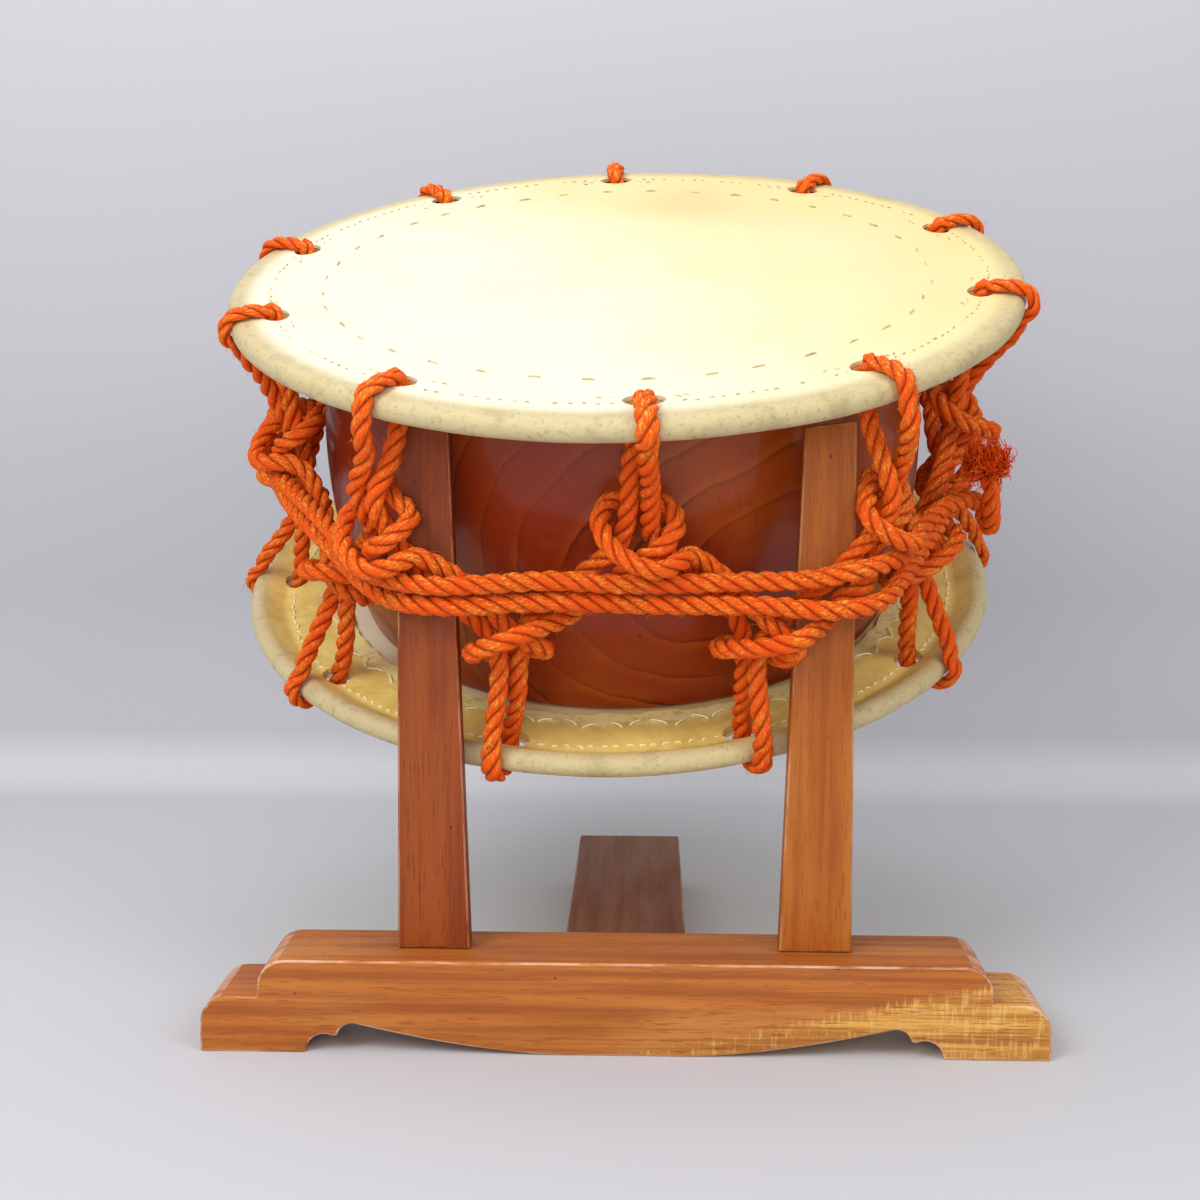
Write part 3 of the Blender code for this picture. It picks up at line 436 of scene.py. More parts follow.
@dataclass(frozen=True)
class DriedRawhide:
    """Cowhide scraped, stretched wet over the ring and dried hard.

    The eye gets a cream skin, almost white on top, with faint yellow clouds and specks of hair roots, a chalky
    grey-green rim where hands and cord rub it, and an ochre, half-clear underside, pale at its torn edge.
    """

    name: str = "dried_rawhide"
    face: str = "#F2ECCE"
    face_yellow: str = "#EED795"
    face_stain: str = "#DDBE7E"
    rim: str = "#CCBA88"
    rim_speck: str = "#8C8254"
    under: str = "#F4D878"
    under_dark: str = "#C6A650"
    edge: str = "#FFF2A8"
    stain_at: Point = (28 * MM, 108 * MM, 77 * MM)
    root_spacing: float = 1.1 * MM
    flap_level: float = 75.2 * MM

    def build(self) -> Material:
        """Returns the material."""
        made, add, shader = new_material(self.name)
        place = add("TexCoord")["Object"]
        x, y, z = add("SeparateXYZ", {0: place})
        flat = add("CombineXYZ", {0: x, 1: y})[0]
        radius = add("VectorMath", {0: flat}, {"operation": "LENGTH"})["Value"]

        # The face is yellower away from the left front, and an old stain lies near its far edge.
        links = {0: place, 1: (0.87, 0.50, 0.0)}
        across = add("VectorMath", links, {"operation": "DOT_PRODUCT"})["Value"]
        away = add("VectorMath", {0: place, 1: self.stain_at}, {"operation": "SUBTRACT"})[0]
        far = add("VectorMath", {0: away}, {"operation": "LENGTH"})["Value"]
        roots = add("TexVoronoi", {"Vector": place, "Scale": 1 / self.root_spacing})["Distance"]
        rooted = add("MapRange", {"Value": roots, "From Min": 0.22, "From Max": 0.08}, SMOOTH)[0]
        top = Patches(self.face_yellow, 6.5, 4.0, 0.55, 0.02, 0.30, 1.0, 0.26).over(add, place, self.face, across)
        top = Patches(self.under, 34.0, 4.0, 0.55, 0.42, 0.75, 0.10).over(add, place, top)
        top = Patches(self.face_stain, 26.0, 5.0, 0.6, 0.068, 0.030, 0.42, 0.05).over(add, place, top, far)
        top = Patches(self.under_dark, 60.0, 3.0, 0.55, 0.50, 0.66, 0.20).over(add, place, top, within=rooted)
        # The rim is rubbed chalky, with grey-green specks.
        rim = Patches(self.rim_speck, 420.0, 5.0, 0.7, 0.53, 0.68, 0.55).over(add, place, self.rim)
        rim = Patches(self.rim_speck, 75.0, 4.0, 0.65, 0.50, 0.68, 0.35).over(add, place, rim)
        worn = add("MapRange", {"Value": radius, "From Min": 160 * MM, "From Max": 170 * MM}, SMOOTH)[0]
        rubbed = add("Math", {0: worn, 1: 0.95}, {"operation": "MULTIPLY"})[0]
        outer = add("Mix", {0: rubbed, 6: top, 7: rim}, BLEND)[2]
        # Underside: the folded flap, ochre, paler and ragged at its inner edge.
        under = Patches(self.under_dark, 48.0, 5.0, 0.62, 0.38, 0.70, 0.55).over(add, place, self.under)
        under = Patches(self.edge, 150.0, 4.0, 0.7, 0.5, 0.7, 0.30).over(add, place, under)
        frayed = Patches(self.under_dark, 200.0, 4.0, 0.7, 0.48, 0.66, 0.5).over(add, place, self.edge)
        torn = Patches(frayed, 95.0, 5.0, 0.75, 145.5 * MM, 144 * MM, 0.92, 14 * MM)
        under = torn.over(add, place, under, radius)
        limits = {"Value": z, "From Min": self.flap_level, "From Max": self.flap_level - 0.4 * MM}
        below = add("MapRange", limits, SMOOTH)[0]
        inside = add("MapRange", {"Value": radius, "From Min": 171.5 * MM, "From Max": 165 * MM}, SMOOTH)[0]
        is_flap = add("Math", {0: below, 1: inside}, {"operation": "MULTIPLY"})[0]
        colour = add("Mix", {0: is_flap, 6: outer, 7: under}, BLEND)[2]
        links = {"Vector": place, "Scale": 22.0, "Detail": 4.0, "Roughness": 0.55}
        limits = {"From Min": 0.3, "From Max": 0.7, "To Min": 0.38, "To Max": 0.6}
        gloss = add("MapRange", {"Value": add("TexNoise", links)["Fac"]} | limits)[0]
        links = {"Vector": place, "Scale": 190.0, "Detail": 6.0, "Roughness": 0.68}
        creases = {"Strength": 0.5, "Distance": 0.35 * MM, "Height": add("TexNoise", links)["Fac"]}
        creased = add("Bump", creases)[0]
        strength = add("Math", {0: worn, 1: 0.9}, {"operation": "MULTIPLY"})[0]
        links = {"Vector": place, "Scale": 330.0, "Detail": 4.0, "Roughness": 0.7}
        chalk = {"Strength": strength, "Distance": 0.55 * MM, "Height": add("TexNoise", links)["Fac"]}
        chalky = add("Bump", chalk | {"Normal": creased})[0]
        fill(shader, {"Base Color": colour, "Roughness": gloss, "Normal": chalky})
        depth = {"Subsurface Radius": (1.0, 0.62, 0.30), "Subsurface Scale": 2.2 * MM}
        fill(shader, {"Subsurface Weight": 0.22} | depth)
        return made


@dataclass(frozen=True)
class LaidCord:
    """Hemp cord dyed orange, three strands laid right-handed.

    The eye gets flecks of silky fibres that run along each strand, golden where wear has paled them and under a
    painted highlight on what faces up, and nearly red under a painted shade in the grooves between the strands.
    """

    name: str = "laid_orange_cord"
    lit: str = "#FFC24C"
    body: str = "#FA5A04"
    gold: str = "#FC8A1A"
    shade: str = "#C83A04"
    # Painted shade for the grooves between the strands.
    painted_groove_shade: str = "#AC2E05"
    fibre: float = 0.8 * MM  # bundles of fibres: single ones are too fine to show
    fleck: float = 3.6  # length of a fleck in such bundles

    def build(self) -> Material:
        """Returns the material."""
        made, add, shader = new_material(self.name)
        place = add("Attribute", None, {"attribute_name": "cord_place"})["Vector"]
        depth = add("Attribute", None, {"attribute_name": "cord_depth"})["Fac"]
        stretch = (1 / self.fibre, 1 / self.fibre, 1 / (self.fleck * self.fibre))
        drawn = add("Mapping", {"Vector": place, "Scale": stretch})[0]
        links = {"Vector": drawn, "Scale": 1.0, "Detail": 4.0, "Roughness": 0.68}
        fibres = add("TexNoise", links)["Fac"]
        stops = [(0.34, self.shade), (0.45, self.body), (0.50, self.body), (0.62, self.lit)]
        flecks = add("ValToRGB", {0: fibres}, stops=stops)[0]
        links = {"Vector": add("TexCoord")["Object"], "Scale": 70.0, "Detail": 3.0, "Roughness": 0.6}
        wear = add("TexNoise", links)["Fac"]
        worn = add("MapRange", {"Value": wear, "From Min": 0.34, "From Max": 0.66, "To Max": 0.8})[0]
        golden = add("MapRange", {"Value": worn, "From Min": 0.40, "From Max": 0.8, "To Max": 0.7})[0]
        # Painted highlight: what faces up turns towards the golden flecks as if lit from above, on top of the
        # real wear.
        normal = add("SeparateXYZ", {0: add("NewGeometry")["Normal"]})
        up = add("MapRange", {"Value": normal[2], "From Min": 0.25, "From Max": 0.95, "To Max": 0.6})[0]
        wear_and_top_light = add("Math", {0: worn, 1: up}, {"operation": "ADD", "use_clamp": True})[0]
        # Painted shade: the strands darken towards the cord's middle, in the grooves where they meet.
        groove_shade_mask = add("MapRange", {"Value": depth, "From Min": 0.86, "From Max": 0.52}, SMOOTH)[0]
        colour = self.body
        for share, over in ((golden, self.gold), (wear_and_top_light, flecks), (groove_shade_mask, self.painted_groove_shade)):
            colour = add("Mix", {0: share, 6: colour, 7: over}, BLEND)[2]
        bump = add("Bump", {"Strength": 1.0, "Distance": 0.9 * MM, "Height": fibres})[0]
        fill(shader, {"Base Color": colour, "Normal": bump, "Roughness": 0.62, "Specular IOR Level": 0.22})
        fill(shader, {"Sheen Weight": 0.10, "Sheen Roughness": 0.4, "Sheen Tint": "#FF9A30"})
        return made


@dataclass(frozen=True)
class LooseFibre:
    """The cord's own fibres, come apart at its end.

    The eye gets a dull red brush in which single fibres stand out, more orange towards their tips.
    """

    name: str = "frayed_cord_fibre"
    root: str = "#A01C02"
    tip: str = "#F05A10"

    def build(self) -> Material:
        """Returns the material."""
        made, add, shader = new_material(self.name)
        share = add("Attribute", None, {"attribute_name": "fibre_share"})["Fac"]
        colour = add("ValToRGB", {0: share}, stops=[(0.0, self.root), (1.0, self.tip)])[0]
        fill(shader, {"Base Color": colour, "Roughness": 0.8, "Specular IOR Level": 0.15})
        return made


@dataclass(frozen=True)
class PlanedWood:
    """Cherry-like hardwood, planed and wiped with a thin satin finish.

    The eye gets long streaks along the piece, fine open pores, and paler wood where the edges have worn.
    """

    name: str
    base: str
    streak: str
    pale: str
    worn: str
    axis: int
    sap: float = 0.0  # how steeply the sapwood's edge rises, if there is any
    sap_at: float = 1.5 * MM
    streak_width: float = 5 * MM
    line_width: float = 2.2 * MM
    pore_width: float = 0.7 * MM
    pore_length: float = 11 * MM
    roughness: float = 0.52
    sap_dark: str = "#B4742F"
    sap_light: str = "#E6AE54"
    sap_tick: str = "#F0C878"
    pit: str = "#3B1B0C"

    def scale(self, across: float, length: float) -> tuple[float, ...]:
        """Scale of a pattern of one size across the grain and another along it."""
        return tuple(1 / (length if i == self.axis else across) for i in range(3))

    def sapwood(self, add: Add, place: Socket, ground: Socket) -> Socket:
        """Lays golden sapwood over the wood, below a ragged line that rises to the right.

        Args:
            add: Adds a node to the material.
            place: Where it is read.
            ground: The colour below.

        Returns:
            The colour on top.
        """
        parts = add("SeparateXYZ", {0: place})
        rise = add("Math", {0: parts[0], 1: self.sap, 2: self.sap_at}, {"operation": "MULTIPLY_ADD"})[0]
        below = add("Math", {0: rise, 1: parts[2]}, {"operation": "SUBTRACT"})[0]
        links = {"Vector": place, "Rotation": (0.0, 0.14, 0.0), "Scale": (16.0, 420.0, 420.0)}
        rising, ticks = add("Mapping", links)[0], (700.0, 700.0, 110.0)
        colour = Patches(self.sap_light, 1.0, 4.0, 0.62, 0.36, 0.64).over(add, rising, self.sap_dark)
        colour = Patches(self.sap_tick, ticks, 2.0, 0.55, 0.52, 0.66, 0.45).over(add, place, colour)
        return Patches(colour, ticks, 2.0, 0.55, 4.5 * MM, 9 * MM, 0.88, 9 * MM).over(add, place, ground, below)

    def build(self) -> Material:
        """Returns the material."""
        made, add, shader = new_material(self.name)
        place = add("TexCoord")["Object"]
        width, line, pore = self.streak_width, self.line_width, self.scale(self.pore_width, self.pore_length)
        long_streaks = Patches(self.streak, self.scale(width, 28 * width), 4.0, 0.6, 0.36, 0.66, 0.85)
        broad_streaks = Patches(self.pale, self.scale(6 * width, 30 * width), 2.0, 0.55, 0.45, 0.66, 0.5)
        colour = broad_streaks.over(add, place, long_streaks.over(add, place, self.base))
        if self.sap:
            colour = self.sapwood(add, place, colour)
        colour = Patches(self.streak, pore, 2.0, 0.6, 0.44, 0.33, 0.75).over(add, place, colour)
        fine_lines = Patches(self.streak, self.scale(line, 60 * line), 3.0, 0.65, 0.54, 0.66, 0.5)
        colour = fine_lines.over(add, place, colour)
        spread = add("Mapping", {"Vector": place, "Scale": self.scale(10 * MM, 17 * MM)})[0]
        pits = add("TexVoronoi", {"Vector": spread, "Scale": 1.0})["Distance"]
        limits = {"Value": pits, "From Min": 0.065, "From Max": 0.035, "To Max": 0.7}
        pitted = add("MapRange", limits, SMOOTH)[0]
        colour = add("Mix", {0: pitted, 6: colour, 7: self.pit}, BLEND)[2]
        # Edges have lost their finish: a face that looks along no axis of the piece is a worn edge.
        facing = add("NewGeometry")["True Normal"]
        facing = add("VectorMath", {0: facing}, {"operation": "ABSOLUTE"})[0]
        x, y, z = add("SeparateXYZ", {0: facing})
        most = add("Math", {0: x, 1: y}, {"operation": "MAXIMUM"})[0]
        most = add("Math", {0: most, 1: z}, {"operation": "MAXIMUM"})[0]
        bare = add("MapRange", {"Value": most, "From Min": 0.97, "From Max": 0.90}, SMOOTH)[0]
        rubbed = Patches(self.worn, self.scale(6 * MM, 30 * MM), 4.0, 0.7, 0.36, 0.60, 0.8)
        colour = rubbed.over(add, place, colour, within=bare)
        # Uneven gloss, open pores and the plane's shallow waves.
        values = []
        for scale, detail, rough in (
            (self.scale(9 * MM, 60 * MM), 3.0, 0.55),
            (pore, 3.0, 0.6),
            (self.scale(14 * MM, 30 * MM), 2.0, 0.55),
        ):
            spread = add("Mapping", {"Vector": place, "Scale": scale})[0]
            links = {"Vector": spread, "Scale": 1.0, "Detail": detail, "Roughness": rough}
            values.append(add("TexNoise", links)["Fac"])
        low, high = self.roughness - 0.07, self.roughness + 0.1
        limits = {"Value": values[0], "From Min": 0.3, "From Max": 0.7, "To Min": low, "To Max": high}
        shine = add("MapRange", limits)[0]
        bump = add("Bump", {"Strength": 0.35, "Distance": 0.2 * MM, "Height": values[1]})[0]
        bump = add("Bump", {"Strength": 0.3, "Distance": 0.6 * MM, "Height": values[2], "Normal": bump})[0]
        fill(shader, {"Base Color": colour, "Roughness": shine, "Normal": bump, "Specular IOR Level": 0.3})
        return made


@dataclass(frozen=True)
class WaxedThread:
    """Waxed linen sewing thread, pulled tight into the skin.

    The eye gets small pale stitches, greyed by handling on the face and still fresh under the fold.
    """

    name: str = "waxed_linen_thread"
    clean: str = "#E4D9AE"
    grey: str = "#A89B6C"
    fresh: str = "#FFF6D2"
    fold_level: float = 75 * MM

    def build(self) -> Material:
        """Returns the material."""
        made, add, shader = new_material(self.name)
        place = add("TexCoord")["Object"]
        dirt = add("TexNoise", {"Vector": place, "Scale": 300.0})["Fac"]
        handled = add("ValToRGB", {0: dirt}, stops=[(0.35, self.clean), (0.7, self.grey)])[0]
        # Only the face is handled: under the fold the thread has stayed pale.
        height = add("SeparateXYZ", {0: place})[2]
        folded = add("Math", {0: height, 1: self.fold_level}, {"operation": "LESS_THAN"})[0]
        colour = add("Mix", {0: folded, 6: handled, 7: self.fresh}, BLEND)[2]
        fill(shader, {"Base Color": colour, "Roughness": 0.55})
        return made


@dataclass(frozen=True)
class ForgedIron:
    """Iron rod, forged and left black.

    The eye gets a dull dark scale, seen only through the slits.
    """

    name: str = "forged_iron"
    dark: str = "#2A2523"
    light: str = "#5A4A40"

    def build(self) -> Material:
        """Returns the material."""
        made, add, shader = new_material(self.name)
        links = {"Vector": add("TexCoord")["Object"], "Scale": 350.0, "Detail": 4.0}
        scale = add("TexNoise", links)["Fac"]
        colour = add("ValToRGB", {0: scale}, stops=[(0.35, self.dark), (0.7, self.light)])[0]
        fill(shader, {"Base Color": colour, "Metallic": 0.8, "Roughness": 0.6})
        return made


@dataclass(frozen=True)
class StudioPaper:
    """Seamless pale grey paper that curves up behind the object.

    Its back isn't seen, so that the object can be looked at from all sides.
    """

    name: str = "studio_paper"
    floor: str = "#CBCBCF"
    bend: str = "#D4D4D9"
    wall_low: str = "#BDBDC2"
    wall_high: str = "#CDCDD1"
    high: float = 0.6

    def build(self) -> Material:
        """Returns the material."""
        made, add, shader = new_material(self.name)
        place = add("NewGeometry")
        height = add("SeparateXYZ", {0: place["Position"]})[2]
        share = add("MapRange", {"Value": height, "From Max": self.high})[0]
        # A painted band of light lies along the bend; the wall is darker low down and lighter higher up.
        stops = [(0.0, self.floor), (0.006, self.bend), (0.02, self.bend)]
        stops += [(0.05, self.wall_low), (0.36, self.wall_low), (1.0, self.wall_high)]
        colour = add("ValToRGB", {0: share}, stops=stops)[0]
        fill(shader, {"Base Color": colour, "Roughness": 0.85, "Specular IOR Level": 0.2})
        nodes = made.node_tree.nodes
        front = nodes["Principled BSDF"].outputs[0]
        links = {0: place["Backfacing"], 1: front, 2: add("BsdfTransparent")[0]}
        fill(nodes["Material Output"].inputs, {"Surface": add("MixShader", links)[0]})
        return made


# The drum


@dataclass(frozen=True)
class DrumPose:
    """Where the drum hangs in the stand."""

    place: tuple[float, float, float] = (-3.5 * MM, 134.6 * MM, 241.1 * MM)
    tilt: float = math.radians(21.0)
    roll: float = math.radians(-1.3)

    def matrix(self) -> Matrix:
        """The drum's frame."""
        turned = Euler((self.tilt, self.roll, 0), "YXZ").to_matrix().to_4x4()
        return Matrix.Translation(self.place) @ turned


class Side(Enum):
    """The two heads."""

    TOP = "top"
    BOTTOM = "bottom"


@dataclass
class Barrel:
    """The hollowed wooden barrel."""

    pose: DrumPose
    belly_radius: float = 136 * MM
    mouth_radius: float = 124 * MM
    half_height: float = 75.2 * MM
    edge_round: float = 3.5 * MM
    bore_radius: float = 101 * MM
    bore_mouth: float = 109 * MM
    inner_slope: float = 9 * MM
    columns: int = 240

    def profile(self) -> np.ndarray:
        """Radius and height of points round the barrel's section, from the top crown down the outside."""
        shoulder = self.half_height - self.edge_round
        heights = np.linspace(shoulder, -shoulder, 40)
        outer = np.column_stack([self.radius(heights), heights])
        angle = np.radians(np.linspace(90, 8, 7))
        crown_radius = self.radius(np.array([shoulder]))[0] - self.edge_round
        bent = self.edge_round * np.column_stack([np.cos(angle), np.sin(angle)])
        crown = bent + (crown_radius, shoulder)
        low = crown[::-1] * (1, -1)
        reach = self.half_height - self.inner_slope
        inside = np.linspace(-reach, reach, 15)
        bore = self.bore_radius + (self.bore_mouth - self.bore_radius) * (inside / reach) ** 2
        return np.vstack([crown, outer, low, np.column_stack([bore, inside])])

    def radius(self, height: np.ndarray) -> np.ndarray:
        """Outer radius at some heights."""
        return self.belly_radius - (self.belly_radius - self.mouth_radius) * (height / self.half_height) ** 2

    def build(self, finish: Material) -> Piece:
        """Builds the barrel in its lacquer.

        Args:
            finish: Its material.

        Returns:
            The barrel.
        """
        section = self.profile()
        angle = np.arange(self.columns) * 2 * math.pi / self.columns
        radius, height = section[:, :1], section[:, 1:]
        height = np.broadcast_to(height, (len(section), self.columns))
        points = np.stack([radius * np.cos(angle), radius * np.sin(angle), height], axis=2).reshape(-1, 3)
        faces = [face[::-1] for face in sheet_faces(len(section), self.columns, True)]
        last = len(points) - self.columns
        for j in range(self.columns):
            k = (j + 1) % self.columns
            faces.append((last + k, last + j, j, k)[::-1])
        made = mesh_object("barrel", points, faces)
        made.matrix_world = self.pose.matrix()
        made.data.materials.append(finish)
        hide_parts("body_shell")
        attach(made, "drum")
        return made


@dataclass
class Head:
    """One skin: flat over the drum, round its ring and folded back under itself, with slits and seams."""

    pose: DrumPose
    side: Side
    shift: float
    pairs: tuple[float, ...]
    radius: float = 175 * MM
    span: float = 154 * MM
    skin: float = 1.5 * MM
    seat_gap: float = 0.3 * MM
    ring_rod: float = 6 * MM
    fold_angle: float = 35.0
    flap_radius: float = 129.2 * MM
    slit_radius: float = 155.2 * MM
    slit_length: float = 17 * MM
    slit_width: float = 11.5 * MM
    columns: int = 480
    outer_seam: float = 157.5 * MM
    inner_seam: float = 133.5 * MM
    flap_seam: float = 138.5 * MM
    inner_stitches: int = 38
    outer_stitches: int = 190
    flap_stitches: int = 96
    cut_levels: tuple[float, float] = (66 * MM, 80 * MM)  # the slits' cutter reaches from one to the other
    seam_step: float = 1.5 * MM  # how far in from the face's outer seam its stitches show on the flap
    uneven_from: float = 160 * MM  # outside this the skin follows its ring unevenly
    flap_end: float = 166 * MM  # inside this the fold lies as a flap under the face
    torn_from: float = 141 * MM  # inside this the flap is torn
    fade: float = 12 * MM  # both come in over this width
    swell_at: float = 146 * MM
    tent_at: float = 153 * MM
    lip: float = 0.35 * MM
    tent: float = 1.6 * MM
    dent: float = 0.55 * MM

    def matrix(self) -> Matrix:
        """The head's own frame: its outer face looks along its Z."""
        turn = Matrix.Identity(4) if self.side is Side.TOP else Matrix.Rotation(math.pi, 4, "X")
        return self.pose.matrix() @ Matrix.Translation((self.shift, 0, 0)) @ turn

    def pair_angles(self) -> list[float]:
        """Angle of each pair of cords in the head's frame."""
        flip = 1 if self.side is Side.TOP else -1
        return [flip * (math.radians(azimuth) - math.pi / 2) for azimuth in self.pairs]

    def profile(self) -> np.ndarray:
        """Radius and height round the skin's section, from the middle of its face to the middle of its inside."""
        top = self.span / 2
        fold = self.ring_rod / 2 + self.seat_gap + self.skin
        pocket = fold - self.skin
        centre = np.array([self.radius - fold, top - fold])
        leave = -90 - self.fold_angle
        slope = math.tan(math.radians(self.fold_angle))
        low, high = top - 2 * self.skin - self.seat_gap, top - self.skin - self.seat_gap

        def round_ring(size: float, start: float, end: float, count: int) -> np.ndarray:
            """Points on the fold round the ring."""
            angle = np.radians(np.linspace(start, end, count))
            return centre + size * np.column_stack([np.cos(angle), np.sin(angle)])

        def level(start: float, end: float, count: int, height: float) -> np.ndarray:
            """Points on a flat stretch."""
            return np.column_stack([np.linspace(start, end, count), np.full(count, height)])

        outside = round_ring(fold, 90, leave, 22)
        inside = round_ring(pocket, leave, 90, 9)
        meet_low = outside[-1][0] - (low - outside[-1][1]) / slope
        meet_high = inside[0][0] - (high - inside[0][1]) / slope
        rows = [
            level(0.5 * MM, 118 * MM, 14, top),
            level(121 * MM, centre[0] - 1.2 * MM, 30, top),
            outside,
            level(meet_low + 1.5 * MM, meet_low + 1.5 * MM, 1, low - 1.1 * MM),
            level(meet_low - 0.5 * MM, self.flap_radius + 0.7 * MM, 20, low),
            level(self.flap_radius, self.flap_radius, 1, (low + high) / 2),
            level(self.flap_radius + 0.7 * MM, meet_high, 5, high),
            inside,
            level(centre[0] - 3 * MM, 0.5 * MM, 6, top - self.skin),
        ]
        return np.vstack(rows)

    def surface(self) -> Mesh:
        """Points and faces of the skin, with the unevenness that drying and lacing give it."""
        section = self.profile()
        angle = np.arange(self.columns) * 2 * math.pi / self.columns
        radius = np.repeat(section[:, :1], self.columns, axis=1)
        height = np.repeat(section[:, 1:], self.columns, axis=1)
        base_radius = radius.copy()
        seed = SEED + (0 if self.side is Side.TOP else 20)
        edge = np.clip((base_radius - self.uneven_from) / self.fade, 0, 1)
        wander = smooth_noise(angle, seed, 9) * 0.45 * MM + smooth_noise(angle, seed + 1, 40, 1.2) * 0.18 * MM
        radius = radius + edge * wander
        height = height + edge * 0.35 * MM * smooth_noise(angle, seed + 2, 14)
        top = self.span / 2
        on_flap = (height < top - 2 * self.skin + 0.2 * MM) & (base_radius < self.flap_end)
        # The flap's inner edge is torn, and the flap swells and waves as it has dried.
        inner = np.clip((self.torn_from - base_radius) / self.fade, 0, 1)
        torn = smooth_noise(angle, seed + 3, 30, 1.15) * 1.5 * MM
        torn = torn + smooth_noise(angle, seed + 4, 90, 1.5) * 0.9 * MM
        is_under = height < top - self.skin - 0.1 * MM
        radius = radius + np.where(is_under, inner * np.maximum(torn, -1.2 * MM), 0)
        swell = np.clip(1 - np.abs(base_radius - self.swell_at) / (14 * MM), 0, 1)
        height = height - on_flap * swell * (0.5 * MM + 0.5 * MM * smooth_noise(angle, seed + 5, 24, 1.2))
        flap_wave = smooth_noise(angle, seed + 6, 34, 1.25) * 0.7 * MM
        height = height - on_flap * inner * np.abs(flap_wave)
        for slit in self.pair_angles():
            # Each pair of cords raises a lip round its slit, tents the flap and dents the rim.
            away = (angle - slit + math.pi) % (2 * math.pi) - math.pi
            distance = np.hypot(away[None, :] * base_radius, base_radius - self.slit_radius)
            lip = np.exp(-((distance - 9 * MM) / (4 * MM)) ** 2)
            height = height + np.where(is_under, -1, 1) * lip * self.lip * (base_radius < self.flap_end)
            beside = np.clip(1 - np.abs(away[None, :]) * base_radius / (17 * MM), 0, 1)
            tent = beside * np.clip(1 - np.abs(base_radius - self.tent_at) / (13 * MM), 0, 1)
            height = height - on_flap * tent * self.tent
            dent = np.exp(-((away * self.radius / (4.5 * MM)) ** 2))
            radius = radius - edge * dent * self.dent
        points = np.stack([radius * np.cos(angle), radius * np.sin(angle), height], axis=2).reshape(-1, 3)
        faces = [face[::-1] for face in sheet_faces(len(section), self.columns, True)]
        faces.append(tuple(range(self.columns)))
        last = (len(section) - 1) * self.columns
        faces.append(tuple(range(last, last + self.columns))[::-1])
        return points, faces

    def cut_slits(self, skin: Piece) -> None:
        """Cuts the lens-shaped slits through the face and the flap.

        Args:
            skin: The skin, not yet moved into place.
        """
        share = np.linspace(-1, 1, 13)
        half = self.slit_width / 2 * (1 - share**2) ** 0.62
        side = share * self.slit_length / 2
        outline = np.concatenate([np.column_stack([half, side]), np.column_stack([-half, side])[::-1][1:-1]])
        parts = []
        for slit in self.pair_angles():
            cos, sin = math.cos(slit), math.sin(slit)
            radial, across = outline[:, 0] + self.slit_radius + 0.3 * MM, outline[:, 1]
            flat = np.column_stack([radial * cos - across * sin, radial * sin + across * cos])
            for_levels = [np.column_stack([flat, np.full(len(flat), level)]) for level in self.cut_levels]
            faces = sheet_faces(2, len(flat), True)
            faces += [tuple(range(len(flat)))[::-1], tuple(range(len(flat), 2 * len(flat)))]
            parts.append((np.vstack(for_levels), faces))
        cutter = mesh_object("slit_cutter", *joined(parts), smooth=False)
        modifier = skin.modifiers.new("slits", "BOOLEAN")
        modifier.operation = "DIFFERENCE"
        modifier.solver = "EXACT"
        modifier.object = cutter
        apply_modifiers(skin)
        bpy.data.objects.remove(cutter)

    def stitches(self) -> Mesh:
        """Points and faces of the seams' stitches on the face and on the flap."""
        random = np.random.default_rng(SEED + (3 if self.side is Side.TOP else 4))
        top = self.span / 2
        low = top - 2 * self.skin - self.seat_gap
        parts = []

        def stitch(
            radius: float, start: float, length: float, lean: float, level: float, up: int, thick: float
        ) -> None:
            """Adds one stitch: a short thread that rises out of the skin and dips back into it.

            Args:
                radius: How far out it lies.
                start: Angle of its middle.
                length: Its length.
                lean: How far its ends lie inside and outside its middle.
                level: Height of the skin there.
                up: 1 where it shows above the skin, -1 where it shows below.
                thick: Its thickness.
            """
            share = np.linspace(-1, 1, 7)
            angle = start + share * length / 2 / radius
            out = radius + lean * share
            height = level + up * (thick * 0.75 * (1 - share**4) - 0.35 * MM * share**8 - 0.1 * MM)
            path = np.column_stack([out * np.cos(angle), out * np.sin(angle), height])
            parts.append(tube(path, np.full(7, thick / 2), 6))

        slits = np.array(self.pair_angles())

        def near_slit(angle: float, radius: float, room: float) -> bool:
            """Whether a place on a seam falls into a slit."""
            away = (angle - slits + math.pi) % (2 * math.pi) - math.pi
            return bool((np.abs(away) * radius < room).any())

        # Long stitches round the face, where the flap's edge is sewn down.
        count = self.inner_stitches
        for k in range(count):
            angle = (k + random.uniform(-0.08, 0.08)) * 2 * math.pi / count
            length = random.uniform(5.2, 7.2) * MM
            radius, lean = self.inner_seam + random.normal(0, 0.5) * MM, random.normal(0, 0.3) * MM
            stitch(radius, angle, length, lean, top, 1, 0.75 * MM)
        # Small ones near the slits, seen on the face and on the flap.
        count = self.outer_stitches
        for k in range(count):
            angle = (k + random.uniform(-0.12, 0.12)) * 2 * math.pi / count
            radius = self.outer_seam + 1.2 * MM * math.sin(3 * angle + 1) + random.normal(0, 0.3) * MM
            if near_slit(angle, radius, 8 * MM):
                continue
            if random.random() < 0.86:
                stitch(radius, angle, random.uniform(1.5, 2.3) * MM, random.normal(0, 0.2) * MM, top, 1, 0.6 * MM)
            length, lean = random.uniform(2.0, 2.9) * MM, random.normal(0, 0.35) * MM
            stitch(radius - self.seam_step, angle + 0.5 / count, length, lean, low - 0.25 * MM, -1, 0.8 * MM)
